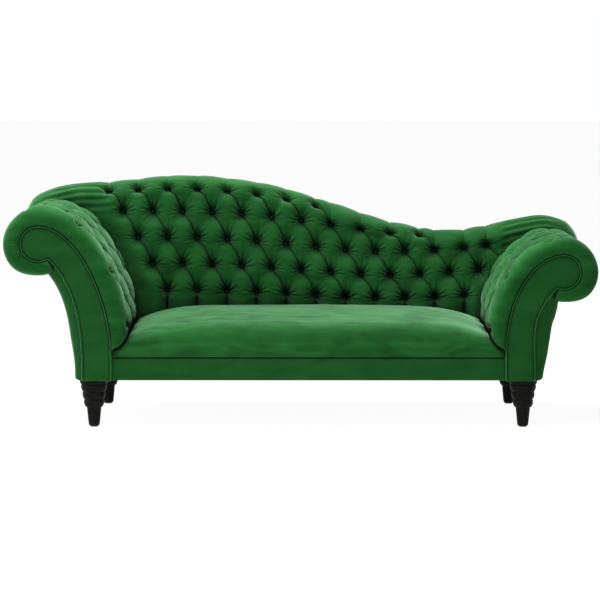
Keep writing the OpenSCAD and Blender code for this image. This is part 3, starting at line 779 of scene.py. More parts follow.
def padded_plate(line: Array, front: float, rear: float, edge: tuple[tuple[float, float], ...]) -> Skin:
    """A plate of cloth-covered padding in the XZ plane with a rounded edge.

    Args:
        line: Outline in X and Z.
        front: Y of the padded face.
        rear: Y of the flat face.
        edge: Distances in from the outline, each with how far the face lies back there.

    Returns:
        The plate's skin.
    """
    skin = Skin()
    lean = 1 if rear > front else -1
    rings = [np.insert(line, 1, rear, axis=1)]
    foot = line[:, 1].min()
    for by, drop in edge:
        ring = inset_line(line, by)
        ring[:, 1] = np.maximum(ring[:, 1], foot + by)
        rings.append(np.insert(ring, 1, front + lean * drop, axis=1))
    skin.grid(np.array(rings), wrap=True)
    skin.cap(rings[0])
    skin.cap(rings[-1])
    return skin


def dress(
    made: Piece, nodes: tuple[str, ...] = ()
) -> Piece:
    """Ties a piece to the frame.

    Args:
        made: The piece.
        nodes: CAD nodes that it stands for.

    Returns:
        The piece.
    """
    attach(made, "root")
    if nodes:
        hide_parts(*nodes)
    LOG.info("%s: %d faces", made.name, len(made.data.polygons))
    return made


def dress_pad(skin: Skin, node: str, velvet: Material, sharp: float = 55) -> Piece:
    """Makes the padded piece that stands for one CAD node.

    Args:
        skin: The piece's skin.
        node: The CAD node, which also names the piece.
        velvet: What it is dressed in.
        sharp: Angle in degrees from which an edge is sharp.

    Returns:
        The piece.
    """
    return dress(skin.piece(f"{node}_velvet", velvet, sharp), (node,))


# Shader tools and shared effects


class Graph:
    """Adds nodes to one node tree and links them."""

    def __init__(self, tree: Tree) -> None:
        """Works on the tree."""
        self.tree = tree

    def node(self, kind: str, inputs: dict | None = None, **settings: object) -> Node:
        """Adds a node.

        Args:
            kind: Blender's name of the node type.
            inputs: Socket names or numbers, each with a value or a socket to link.
            settings: Properties of the node.

        Returns:
            The node.
        """
        made = self.tree.nodes.new(kind)
        for key, value in settings.items():
            setattr(made, key, value)
        for key, value in (inputs or {}).items():
            if isinstance(value, Socket):
                self.tree.links.new(value, made.inputs[key])
            else:
                made.inputs[key].default_value = value
        return made

    def feed(self, target: Node, sockets: dict[str, Socket]) -> None:
        """Links sockets to the inputs of a node by name."""
        for key, socket in sockets.items():
            self.tree.links.new(socket, target.inputs[key])

    def place(self, stretch: tuple[float, float, float] = (1, 1, 1)) -> Socket:
        """Object coordinates, stretched along each axis."""
        where = self.node("ShaderNodeTexCoord").outputs["Object"]
        return self.node("ShaderNodeMapping", {"Vector": where, "Scale": stretch}).outputs["Vector"]

    def noise(
        self, vector: Socket, scale: object, detail: float = 3, distortion: float = 0
    ) -> Socket:
        """Cloudy values over the surface."""
        values = {"Vector": vector, "Scale": scale, "Detail": detail, "Distortion": distortion}
        return self.node("ShaderNodeTexNoise", values).outputs["Fac"]

    def remap(
        self, value: Socket, source: tuple[float, float], target: tuple[object, object]
    ) -> Socket:
        """Values of one range carried to another, held at its ends."""
        values = {"Value": value, "From Min": source[0], "From Max": source[1]}
        values |= {"To Min": target[0], "To Max": target[1]}
        return self.node("ShaderNodeMapRange", values).outputs["Result"]

    def blend(self, share: object, a: object, b: object) -> Socket:
        """A colour between a and b."""
        return self.node("ShaderNodeMix", {0: share, 6: a, 7: b}, data_type="RGBA").outputs[2]

    def math(self, operation: str, a: object, b: object) -> Socket:
        """Result of one sum."""
        return self.node("ShaderNodeMath", {0: a, 1: b}, operation=operation).outputs[0]

    def plus(self, a: object, b: object) -> Socket:
        """The sum of a and b."""
        return self.math("ADD", a, b)

    def times(self, a: object, b: object) -> Socket:
        """The product of a and b."""
        return self.math("MULTIPLY", a, b)


def effect_group(
    name: str, inputs: dict[str, float | tuple[float, ...]], outputs: dict[str, str]
) -> tuple[Tree, Graph, Node, Node]:
    """Starts a shader node group.

    Args:
        name: The group's name.
        inputs: Names with default values, colours where a value is a tuple.
        outputs: Names with socket types.

    Returns:
        The group, its graph, and its input and output nodes.
    """
    tree = bpy.data.node_groups.new(name, "ShaderNodeTree")
    for key, value in inputs.items():
        kind = "NodeSocketColor" if isinstance(value, tuple) else "NodeSocketFloat"
        tree.interface.new_socket(key, in_out="INPUT", socket_type=kind).default_value = value
    for key, kind in outputs.items():
        tree.interface.new_socket(key, in_out="OUTPUT", socket_type=kind)
    graph = Graph(tree)
    return tree, graph, graph.node("NodeGroupInput"), graph.node("NodeGroupOutput")


SURFACE = {"Color": "NodeSocketColor", "Roughness": "NodeSocketFloat", "Height": "NodeSocketFloat"}


class Effects:
    """Shader node groups that the finishes share, each built once."""

    @cached_property
    def pile(self) -> Tree:
        """Velvet pile: brushed patches and streaks, single tufts of fibre, and painted shade in
        hollows, where an ambient-occlusion mask darkens the colour and takes away the sheen.
        """
        values = {"Shade": (0.01, 0.05, 0.02, 1), "Lit": (0.02, 0.1, 0.04, 1)}
        values |= {"Brush": 0.5, "Fibre": 0.4, "Reach": 0.09}
        outputs = {**SURFACE, "Nap And Shade": "NodeSocketFloat"}
        tree, g, given, result = effect_group("velvet_pile", values, outputs)
        patches = g.noise(g.place((0.8, 1.2, 2.2)), 7, 5, 0.9)
        streaks = g.noise(g.place((2.5, 14, 14)), 2.6, 4, 0.5)
        fibre = g.noise(g.place(), 1400, 2)
        brushed = g.remap(g.plus(g.times(patches, 0.7), g.times(streaks, 0.3)), (0.36, 0.64), (0, 1))
        share = g.plus(g.times(brushed, given.outputs["Brush"]), 0.25)
        speck = g.times(g.math("SUBTRACT", fibre, 0.5), given.outputs["Fibre"])
        colour = g.blend(g.plus(share, speck), given.outputs["Shade"], given.outputs["Lit"])
        # Painted shade: an ambient-occlusion mask within the given reach marks hollows, creases and
        # pits.
        shade_occlusion = g.node("ShaderNodeAmbientOcclusion", {"Distance": given.outputs["Reach"]}, samples=4)
        unshaded_share = g.remap(shade_occlusion.outputs["AO"], (0.3, 0.95), (0, 1))
        made = {
            # Painted shade: the colour goes to near-black and the sheen falls away in the hollows.
            "Color": g.blend(unshaded_share, (0.0005, 0.003, 0.001, 1), colour),
            "Nap And Shade": g.times(g.remap(brushed, (0, 1), (0.6, 1)), unshaded_share),
            "Roughness": g.remap(brushed, (0, 1), (0.85, 0.7)),
            "Height": fibre,
        }
        g.feed(result, made)
        return tree

    @cached_property
    def grain(self) -> Tree:
        """Wood grain: long fibres along Z with pores and a slow change of tone."""
        values = {"Early": (0.5, 0.36, 0.2, 1), "Late": (0.36, 0.24, 0.12, 1)}
        values |= {"Rough": 0.5, "Fineness": 60.0}
        tree, g, given, result = effect_group("wood_grain", values, SURFACE)
        fibres = g.noise(g.place((1, 1, 0.06)), given.outputs["Fineness"], 6, 0.6)
        pores = g.remap(g.noise(g.place((1, 1, 0.04)), 420, 2), (0.62, 0.7), (0, 1))
        tone = g.noise(g.place(), 7, 2)
        share = g.remap(g.plus(g.times(fibres, 0.75), g.times(tone, 0.35)), (0.38, 0.68), (0, 1))
        made = {
            "Color": g.blend(share, given.outputs["Early"], given.outputs["Late"]),
            "Roughness": g.plus(given.outputs["Rough"], g.times(pores, 0.15)),
            "Height": g.math("SUBTRACT", fibres, g.times(pores, 0.8)),
        }
        g.feed(result, made)
        return tree

    @cached_property
    def wear(self) -> Tree:
        """Handling marks: faint scuffs, and dust that gathers low down."""
        values = {"Color": (0.1, 0.1, 0.1, 1), "Dust": (0.3, 0.28, 0.25, 1)}
        values |= {"Roughness": 0.4, "Amount": 0.2}
        tree, g, given, result = effect_group("handling_wear", values, SURFACE)
        scuffs = g.remap(g.noise(g.place((1, 1, 0.3)), 55, 5, 1.2), (0.58, 0.74), (0, 1))
        height = g.node("ShaderNodeSeparateXYZ", {0: g.place()}).outputs["Z"]
        low = g.remap(height, (0.0, 0.12), (1, 0.15))
        share = g.times(g.plus(g.times(scuffs, 0.6), low), given.outputs["Amount"])
        made = {
            "Color": g.blend(share, given.outputs["Color"], given.outputs["Dust"]),
            "Roughness": g.plus(given.outputs["Roughness"], g.times(scuffs, 0.18)),
            "Height": scuffs,
        }
        g.feed(result, made)
        return tree

    @cached_property
    def weave(self) -> Tree:
        """Plain weave: warp and weft threads that pass over and under each other."""
        values = {"Thread": (0.5, 0.4, 0.25, 1), "Gap": (0.2, 0.15, 0.1, 1)}
        values |= {"Count": 400.0, "Rough": 0.9}
        tree, g, given, result = effect_group("plain_weave", values, SURFACE)
        where = g.node("ShaderNodeSeparateXYZ", {0: g.place()})
        turns = [g.times(where.outputs[axis], given.outputs["Count"]) for axis in "XYZ"]
        x, y, z = (g.math("ABSOLUTE", g.math("SINE", turn, 0), 0) for turn in turns)
        crossed = g.times(g.math("MAXIMUM", x, y), g.math("MAXIMUM", y, z))
        slub = g.noise(g.place(), 180, 3)
        height = g.plus(g.times(crossed, 0.8), g.times(slub, 0.4))
        share = g.remap(height, (0.3, 1), (0, 1))
        made = {
            "Color": g.blend(share, given.outputs["Gap"], given.outputs["Thread"]),
            "Roughness": g.plus(given.outputs["Rough"], g.times(slub, 0.08)),
            "Height": height,
        }
        g.feed(result, made)
        return tree


EFFECTS = Effects()


def srgb(r: float, g: float, b: float) -> tuple[float, float, float, float]:
    """Linear colour of an sRGB colour given from 0 to 255."""
    linear = (((c / 255 + 0.055) / 1.055) ** 2.4 if c > 10 else c / 255 / 12.92 for c in (r, g, b))
    return (*linear, 1.0)


@dataclass(frozen=True)
class Finish:
    """What all finishes share: a name, and how deep the surface's relief is."""

    name: str
    relief: float = 0.1
    relief_m: float = 0.0004

    def start(self) -> tuple[Material, Graph, Node]:
        """Makes the material with its shader.

        Returns:
            The material, its graph and the Principled node.
        """
        material = bpy.data.materials.new(self.name)
        material.use_nodes = True
        return material, Graph(material.node_tree), material.node_tree.nodes["Principled BSDF"]

    def join(
        self, graph: Graph, shader: Node, effect: Node, relief: Node
    ) -> None:
        """Feeds the shader.

        Args:
            graph: The material's graph.
            shader: The Principled node.
            effect: Where colour and roughness come from.
            relief: Where the height of the relief comes from.
        """
        values = {"Strength": self.relief, "Distance": self.relief_m}
        bump = graph.node("ShaderNodeBump", {**values, "Height": relief.outputs["Height"]})
        made = {
            "Base Color": effect.outputs["Color"],
            "Roughness": effect.outputs["Roughness"],
            "Normal": bump.outputs["Normal"],
        }
        graph.feed(shader, made)


@dataclass(frozen=True)
class Velvet(Finish):
    """Short-pile velvet, with painted shade in its hollows."""

    shade: Colour = (7, 48, 13)
    lit: Colour = (20, 78, 28)
    brush: float = 0.5
    fibre: float = 0.5
    sheen: float = 0.7
    sheen_roughness: float = 0.43
    sheen_tint: Colour = (168, 222, 180)
    specular: float = 0.05
    # reach: how far in metres the painted shade in hollows spreads
    reach: float = 0.09

    def make(self) -> Material:
        """The material."""
        material, g, shader = self.start()
        values = {"Shade": srgb(*self.shade), "Lit": srgb(*self.lit)}
        values |= {"Brush": self.brush, "Fibre": self.fibre, "Reach": self.reach}
        effect = g.node("ShaderNodeGroup", values, node_tree=EFFECTS.pile)
        self.join(g, shader, effect, effect)
        # Painted shade: the sheen weight falls away where the pile group paints shade in hollows.
        g.feed(shader, {"Sheen Weight": g.times(effect.outputs["Nap And Shade"], self.sheen)})
        shader.inputs["Specular IOR Level"].default_value = self.specular
        shader.inputs["Sheen Roughness"].default_value = self.sheen_roughness
        shader.inputs["Sheen Tint"].default_value = srgb(*self.sheen_tint)
        return material


@dataclass(frozen=True)
class Wood(Finish):
    """Planed or turned wood, bare or stained."""

    early: Colour = (205, 170, 125)
    late: Colour = (180, 140, 95)
    roughness: float = 0.55
    fineness: float = 60
    dust: float = 0.05
    specular: float = 0.4

    def make(self) -> Material:
        """The material."""
        material, g, shader = self.start()
        values = {"Early": srgb(*self.early), "Late": srgb(*self.late)}
        values |= {"Rough": self.roughness, "Fineness": self.fineness}
        grain = g.node("ShaderNodeGroup", values, node_tree=EFFECTS.grain)
        worn = {key: grain.outputs[key] for key in ("Color", "Roughness")}
        wear = g.node("ShaderNodeGroup", {**worn, "Amount": self.dust}, node_tree=EFFECTS.wear)
        self.join(g, shader, wear, grain)
        shader.inputs["Specular IOR Level"].default_value = self.specular
        return material


@dataclass(frozen=True)
class Cloth(Finish):
    """Woven or needled cloth without pile."""

    thread: Colour = (150, 125, 85)
    gap: Colour = (80, 62, 40)
    count: float = 1800
    roughness: float = 0.88

    def make(self) -> Material:
        """The material."""
        material, g, shader = self.start()
        values = {"Thread": srgb(*self.thread), "Gap": srgb(*self.gap)}
        values |= {"Count": self.count, "Rough": self.roughness}
        effect = g.node("ShaderNodeGroup", values, node_tree=EFFECTS.weave)
        self.join(g, shader, effect, effect)
        shader.inputs["Sheen Weight"].default_value = 0.15
        return material


@dataclass(frozen=True)
class Hard(Finish):
    """Metal or plastic with scuffs."""

    colour: Colour = (165, 168, 172)
    roughness: float = 0.38
    metallic: float = 1.0
    dust: float = 0.06

    def make(self) -> Material:
        """The material."""
        material, g, shader = self.start()
        values = {"Color": srgb(*self.colour), "Roughness": self.roughness, "Amount": self.dust}
        effect = g.node("ShaderNodeGroup", values, node_tree=EFFECTS.wear)
        self.join(g, shader, effect, effect)
        shader.inputs["Metallic"].default_value = self.metallic
        return material


# Upholstery


@dataclass
class ArmPad:
    """The buttoned pad over one scroll arm."""

    shape: ArmShape
    back: BackShape
    velvet: Material
    spacing: float = 2.4
    rows: int = 270
    gather: float = 1.5
    unevenness: float = 1.3
    lip: float = 34
    lip_y: float = 45
    dimple: float = 18
    pucker: float = 13
    rear_round: float = 10
    rear_band: float = 16
    least_pad: float = 5
    tufting: Tufting = Tufting(
        height=26, sink=11, slope=115 / 210, pitch=210, saddles=(0.3, 0.3), bow=4, crease=6
    )

    def fade(self, s: Array | float, place: Array | float) -> Array:
        """Share of the buttoning that is left near the padding's two ends."""
        return smooth((s - 20) / 70) * smooth((1.55 - place) / 0.3)

    def beside(self, p: Array, q: Array) -> Array:
        """Distance along the padding to the nearest line of buttons."""
        along = (p + q) / 2
        return (along - np.round(along)) * self.shape.layout.arm_pitch

    def depth(self, s: Array, y: Array, place: Array) -> Array:
        """Depth of the buttoning at lengths s and depths y."""
        p, q = self.shape.lattice(s, y)
        ahead = y - self.shape.layout.y0 - self.lip_y
        pinch = np.exp(-((self.beside(p, q) / 13) ** 2) - np.abs(ahead / 15) ** 2.5)
        lip = self.lip * pinch * smooth((1.2 - place) / 0.2)
        return self.fade(s, place) * (smooth(1 + 4 * (p - q)) * self.tufting.depth(p, q) + lip)

    def rear(self, s: Array) -> Array:
        """Y of the pad's rear edge, taken at the solid's own stations."""
        lay, shape = self.shape.layout, self.shape
        step, end, anchor = lay.arm_pitch / 8, shape.pad_line[4][-1], shape.anchor
        first = np.arange(-math.ceil(anchor / step), 5) * step + anchor
        rest = math.ceil((end - first[-1]) / 36)
        last = first[-1] + (end - first[-1]) * np.arange(1, rest + 1) / rest
        stations = np.concatenate([[0.0], first[first > 9], last])
        base, away, thick, place = shape.at(stations)
        ys = []
        for uz in (base, base + thick[:, None] * away):
            x, z = shape.edge_x + shape.out * uz[:, 0], uz[:, 1]
            ys.append(self.back.face_y(x, z))
        rears = np.where(place > 1.5, lay.frame_rear_y - lay.gap, np.minimum(*ys) - 6)
        return np.interp(s, stations, rears)

    def front_edge(self) -> Array:
        """Distance behind the front and share of the padding, along the inside and round the head."""
        nose = bezier(np.array([[10, 0.06], [3, 0.09], [0, 0.2], [0, 0.36]]), np.linspace(0, 1, 8))
        crown = bezier(np.array([[0, 0.36], [0, 0.8], [26, 1.0], [78, 1.0]]), np.linspace(0, 1, 40)[1:])
        edge = np.concatenate([[[21, 0.02], [14, 0.04]], nose, crown])
        tight = bezier(np.array([[0, 0.36], [0, 0.8], [18, 1.0], [50, 1.0]]), np.linspace(0, 1, 40))
        head = np.interp(edge[:, 0], tight[:, 0], tight[:, 1])
        return np.column_stack([edge, np.where(np.arange(len(edge)) < 10, edge[:, 1], head)])

    def rings(self) -> Array:
        """The pad's closed sections along the arm."""
        lay, shape = self.shape.layout, self.shape
        end = shape.pad_line[4][-1]
        s = np.linspace(0, end, int(end / self.spacing))
        base, away, thick, place = shape.at(s)
        rear, at = self.rear(s), place[:, None]
        edge = self.front_edge()
        n = len(edge)
        share = mix(edge[:, 1], edge[:, 2], smooth((at - 0.9) / 0.25))
        share = np.concatenate([share, np.ones((len(s), self.rows))], axis=1)
        run = np.linspace(0, 1, self.rows + 1)[1:]
        front = lay.y0 + edge[-1, 0]
        first = np.broadcast_to(lay.y0 + edge[:, 0], (len(s), n))
        y = np.concatenate([first, front + (rear[:, None] - front) * run], axis=1)
        column = np.arange(y.shape[1])
        ss = np.broadcast_to(s[:, None], y.shape)
        depth = self.depth(ss, y, at) * np.minimum(1, thick[:, None] / 60)
        uneven = self.unevenness * ripple(3 + shape.out, 190, ss, y) * smooth((ss - 20) / 80)
        near_rear = smooth((y - rear[:, None] + self.rear_band) / self.rear_band)
        rounded = self.rear_round * near_rear**2 * smooth((1.5 - at) / 0.2)
        least = np.where(column < 6, lay.piping_d / 2 + 1, self.least_pad)
        pressed = thick[:, None] * share - (depth + uneven + rounded) * (share > 0.5)
        out = np.maximum(np.where(share < 1, least, self.least_pad), pressed)
        near_head = smooth((at - 0.55) / 0.3) * smooth((2.0 - at) / 0.1)
        waves = np.cos(ss * 2 * math.pi / self.pucker + 2.5 * ripple(7, 60, ss))
        puckers = waves * near_head * (0.55 + 0.45 * ripple(8, 90, ss))
        window = np.where(column < n, hill(share - 0.22, 0.18), 0)
        beside = self.beside(*shape.lattice(ss, y))
        inside = smooth((ss - 60) / 60) * smooth((1.1 - at) / 0.2) * (column > 4)
        behind = y - lay.y0 - self.lip_y + 7
        dimple = self.dimple * np.exp(-((beside / 12) ** 2) - (behind / 12) ** 2) * inside
        y = y + self.gather * puckers * window + dimple
        points = shape.world(base[:, None] + out[..., None] * away[:, None], y)
        under = base + 0.9 * away
        inner = np.stack([shape.world(under, rear), shape.world(under, lay.y0 + 21)], axis=1)
        return np.concatenate([points, inner], axis=1)

    def build(self) -> Piece:
        """Makes the pad."""
        skin = Skin()
        skin.tube(self.rings())
        return dress_pad(skin, f"{self.shape.side.value}_arm_pad", self.velvet)


@dataclass
class BackPad:
    """The buttoned back with its top roll."""

    shape: BackShape
    velvet: Material
    spacing: float = 3.1
    end_spacing: float = 8
    rows: int = 288
    rear_rows: int = 14
    end_round: float = 24
    end_close: float = 20
    end_drop: float = 38
    long_fold: float = 2.2
    fold_gap: float = 31
    first_button: float = 57.5
    roll_pleat: tuple[float, float] = (0.6, 5)
    tufting: Tufting = Tufting(height=26, sink=11, slope=103 / 117, pitch=117)

    def upright(self, a: Array) -> Array:
        """Profile of the upright pleats, 1 in a fold and 0 between folds."""
        near = (a - np.round(a)) * self.shape.layout.button_pitch
        soft = 1 - np.abs(np.sin(np.pi * a)) ** 0.75
        return soft + 0.2 * hill(near, 4)

    def ends(self, row: Array) -> tuple[Array, Array]:
        """X of the first and last button of each row, a row being a number with a fraction."""
        lay, shape = self.shape.layout, self.shape
        level = np.clip(row, 0, lay.row_count - 1)
        above = lay.row_count - 1 - level
        first = shape.left.edge_x - self.first_button + above * lay.button_pitch / 2
        last = shape.right.edge_x - np.maximum(0, 2 - level) * lay.button_pitch / 2
        return first, last

    def fade(self, x: Array, v: Array, first: Array, last: Array) -> Array:
        """Share of the buttoning that is left beyond a row's first and last button, and on the roll."""
        edge = smooth((x - first + 75) / 60) * smooth((last + 75 - x) / 60)
        return edge * smooth((self.shape.end(x) - v) / 110)

    def depth(self, x: Array, v: Array) -> Array:
        """Depth of the folds and buttons at x and height v, counted on over the roll."""
        lay, shape = self.shape.layout, self.shape
        row = shape.row_at(x, v)
        a, b = shape.pitches(x, row), row / 2
        top = shape.top_line(x)
        first, last = self.ends(row)
        over = mix(self.roll_pleat[0], self.roll_pleat[1], (x + 100) / 450)
        crest_pleat = over + (lay.tuft_h - over) * np.exp(-3 * np.maximum(0, row - top))
        lattice = self.tufting.depth(a + 0.5 + b, a + 0.5 - b, smooth(row - 1.2) * 0.9 + 0.1)
        below = (lay.tuft_h + 6) * self.upright(a + 0.5)
        above = crest_pleat * self.upright(a + np.where((a > 0.75) & (a < 4.25), 0.0, 0.5))
        depth = np.where(row < 0, mix(lattice, below, -row / 0.3), lattice)
        depth = np.where(row > top, mix(lattice, above, (row - top) / 0.3), depth)
        past = np.maximum(first + 10 - x, x - last - 10)
        beyond = smooth(past / 50) * smooth((lay.couch_w / 2 - 60 - np.abs(x)) / 90)
        under = shape.crest(x) - v
        waves = np.cos(under * 2 * math.pi / self.fold_gap + 1.5 * ripple(13, 260, x))
        long_folds = beyond * waves * hill(under, 110, 4)
        uneven = 1.2 * ripple(11, 150, x, v) + self.long_fold * long_folds
        return self.fade(x, v, first, last) * depth + uneven * smooth((v - shape.start(x)) / 60)

    def columns(self) -> Array:
        """Places of the sections along X, close together where the buttons are."""
        w = self.shape.layout.couch_w / 2 - 3
        first, last = self.shape.left.edge_x - 140, self.shape.right.edge_x + 90
        bend = np.sin(np.linspace(0, math.pi / 2, 8))[:-1] * self.end_round
        middle = [
            np.arange(self.end_round - w, first - 2, self.end_spacing),
            np.arange(first, last, self.spacing),
            np.arange(last + 2, w - self.end_round, self.end_spacing),
        ]
        return np.concatenate([bend - w, *middle, (w - bend)[::-1]])

    def rings(self) -> Array:
        """The pad's closed sections along the couch."""
        lay, shape = self.shape.layout, self.shape
        w = lay.couch_w / 2 - 3
        x = self.columns()
        closed = np.abs(x) > lay.couch_w / 2 - self.end_close
        low = shape.start(x) - self.end_drop * closed
        end, zc = shape.end(x), shape.crest(x) - lay.top_roll_r
        brow = zc + 1.8 * lay.top_roll_r
        seen = low[:, None] + (brow - low)[:, None] * np.linspace(0, 1, self.rows)
        rest = brow[:, None] + (end - brow)[:, None] * np.linspace(0, 1, self.rear_rows + 1)[1:]
        v = np.concatenate([seen, rest], axis=1)
        xs = np.broadcast_to(x[:, None], v.shape)
        corner = self.end_round * (1 - quarter((w - np.abs(x)) / self.end_round))
        depth = self.depth(xs, v) + corner[:, None]
        face = shape.point(xs, v, depth)
        last = shape.point(x, end, np.zeros(len(x)))[:, 2]
        inner = np.stack(
            [
                np.stack([x, np.full(len(x), y), z], -1)
                for y, z in (
                    (lay.frame_rear_y + lay.gap, last),
                    (lay.frame_rear_y + lay.gap, np.where(closed, last - 1, zc + 24)),
                    (lay.web_y - lay.gap, np.where(closed, low - 1, zc + 24)),
                    (lay.web_y - lay.gap, low),
                )
            ],
            axis=1,
        )
        return np.concatenate([face, inner], axis=1)

    def build(self) -> Piece:
        """Makes the pad."""
        skin = Skin()
        skin.tube(self.rings())
        return dress_pad(skin, "back_pad", self.velvet)


@dataclass
class CoveredButtons:
    """Velvet-covered buttons, each sunk square into a pad."""

    node: str
    velvet: Material
    layout: Layout
    under: float = -5
    sides: int = 28
    folds: int = 7
    fold: float = 0.35

    def add(self, skin: Skin, here: Array, way: Array, seed: int) -> None:
        """Adds one button.

        Args:
            skin: What it is added to.
            here: The bottom of its pit.
            way: Its way out of the pad.
            seed: Turns its folds a little.
        """
        r, low = self.layout.button_d / 2 - 3, self.under
        profile = [(0.0, low - 5), (1.8, low - 5), (1.8, low), (r - 1.5, low)]
        curve = np.linspace(-0.2, 1.5, 8)
        profile += [(r * math.cos(t), low + 1.6 + 4.4 * math.sin(t)) for t in curve]
        way = way / np.linalg.norm(way)
        side = np.cross(way, [0.3, 0.2, 0.93])
        side /= np.linalg.norm(side)
        up = np.cross(way, side)
        turn = turns(self.sides)
        spokes = np.cos(turn)[:, None] * side + np.sin(turn)[:, None] * up
        folded = self.fold * np.cos(turn * self.folds + seed)
        rings = []
        for k, (radius, height) in enumerate(profile):
            ring = radius + folded if 4 <= k <= 8 else np.full(self.sides, max(radius, 0.05))
            rings.append(here + way * height + ring[:, None] * spokes)
        skin.tube(np.array(rings))

    def build(self, places: list[tuple[Array, Array]]) -> Piece:
        """Makes all the buttons at places, each a pit's bottom and its way out."""
        skin = Skin()
        for k, (here, way) in enumerate(places):
            self.add(skin, here, way, k)
        return dress(skin.piece(f"{self.node}_velvet", self.velvet, 80), (self.node,))


def back_button_places(pad: BackPad) -> list[tuple[Array, Array]]:
    """Pits of the back's buttons with their ways out."""
    lay, shape = pad.shape.layout, pad.shape
    places = []
    for row in range(lay.row_count):
        first, last = (float(e) for e in pad.ends(np.array(float(row))))
        for k in range(-9, 10):
            count = k + (0.5 if row % 2 == 0 else 0)
            x = (count - 0.25 if row > 1 and count > 6 else count) * lay.button_pitch
            z = float(shape.row_z(x, row))
            if first - 15 < x < last + 15 and row < shape.top_line(x) + 0.1:
                d = pad.fade(x, z, first, last) * (lay.tuft_h + lay.button_sink)
                here, above = shape.point(x, z, d), shape.point(x, z, d - 10)
                places.append((here, above - here))
    return places


def arm_button_places(pad: ArmPad) -> list[tuple[Array, Array]]:
    """Pits of one arm's buttons with their ways out."""
    lay, shape = pad.shape.layout, pad.shape
    places = []
    for row in range(5):
        for along in range(-6, 1):
            s = shape.anchor + along * lay.arm_pitch / 2
            y = lay.y0 + lay.arm_first_row + row * lay.arm_row_gap
            if (row + along) % 2 or s <= 90 or y >= pad.rear(np.array([s]))[0] - 40:
                continue
            base, away, thick, place = (v[0] for v in shape.at(np.array([s])))
            d = pad.fade(s, place) * (lay.tuft_h + lay.button_sink)
            way = np.array([shape.out * away[0], 0, away[1]])
            places.append((shape.world(base + (thick - d) * away, y), way))
    return places


@dataclass
class SeatPad:
    """The tight sprung seat with its rounded nose."""

    layout: Layout
    left: ArmShape
    right: ArmShape
    velvet: Material
    columns: int = 260
    levels: int = 64
    depth_rows: int = 92
    nose_rows: int = 16
    bulge: float = 5
    seam_pinch: float = 7
    lip: float = 2.6

    def end(self, arm: ArmShape, z: Array) -> Array:
        """X of the seat's end at heights z, tucked against the arm's pad."""
        lay = self.layout
        t = np.arange(41) / 80
        swell = lay.inside_pad * quarter(t / PAD_START)
        normal = bezier_normal(arm.inner_curve, t)
        edge = bezier(arm.inner_curve, t) + normal * np.maximum(6, swell)[:, None]
        u = np.interp(z + 4, edge[:, 1], edge[:, 0], left=0)
        return arm.edge_x + arm.out * (np.minimum(0, u) - 2)

    def top_points(self, y: float, top: float) -> Array:
        """One line of the seat's top from end to end."""
        lay = self.layout
        t = np.linspace(0, 1, self.columns)
        share = (top - lay.seam_z) / lay.seat_rise
        side = top - lay.seat_crown * share
        x = mix(self.end(self.left, side), self.end(self.right, side), t)
        z = top - lay.seat_crown * share * np.abs(2 * t - 1) ** 6
        ys = np.full_like(x, y)
        sink = 2.2 * ripple(21, 420, x, ys) + 0.7 * ripple(22, 120, x, ys)
        return np.stack([x, ys, z + sink * smooth(np.minimum(t, 1 - t) / 0.05)], -1)

    def build(self) -> Piece:
        """Makes the seat."""
        lay, skin = self.layout, Skin()
        turn = np.linspace(0, math.pi / 2, self.nose_rows)[:-1]
        nose_z = lay.seat_top - lay.front_fall
        profile = [
            (lay.seat_y0 + lay.nose_r * (1 - math.cos(c)), nose_z - lay.nose_r * (1 - math.sin(c)))
            for c in turn
        ]
        for c in np.linspace(0, 1, self.depth_rows):
            y = mix(lay.seat_y0 + lay.nose_r, lay.back_y - lay.gap - 4, c)
            profile.append((float(y), lay.seat_top - lay.front_fall * (1 - c) ** 3 - 10 * c**3))
        top = np.array([self.top_points(y, z) for y, z in profile])
        f = np.linspace(0, 1, self.levels)
        walls = []
        for arm, column in ((self.left, 0), (self.right, -1)):
            high = top[:, column, 2]
            z = lay.seam_z + (high - lay.seam_z)[:, None] * f
            y = np.broadcast_to(top[:, column, 1][:, None], z.shape)
            x = self.end(arm, z)
            x[:, -1] = top[:, column, 0]
            walls.append(np.stack([x, y, z], -1))
        t = np.linspace(0, 1, self.columns)
        low, high = walls[0][0], walls[1][0]
        x = low[:, None, 0] + (high - low)[:, None, 0] * t
        x[-1] = top[0, :, 0]
        z = lay.seam_z + (top[0, :, 2] - lay.seam_z) * f[:, None]
        inside = smooth(np.minimum(t, 1 - t) / 0.02)
        swell = self.bulge * np.sin(np.pi * np.clip(f, 0, 1)) ** 0.8 - self.seam_pinch * np.exp(-f * 30)
        swell += self.lip * hill(f - 0.07, 0.035)
        waves = 0.9 * ripple(23, 260, x, z) * np.sin(np.pi * f)[:, None]
        y = lay.seat_y0 - (swell[:, None] + waves) * inside
        skin.grid(top)
        skin.grid(np.stack([x, y, z], -1))
        for wall in walls:
            skin.grid(wall)
        front_low = np.stack([x[0], y[0], z[0]], -1)
        skin.cap(np.concatenate([front_low, walls[1][1:, 0], walls[0][:0:-1, 0]]))
        skin.cap(np.concatenate([top[-1], walls[1][-1, -2::-1], walls[0][-1, :-1]]))
        return dress_pad(skin, "seat_pad", self.velvet, 70)


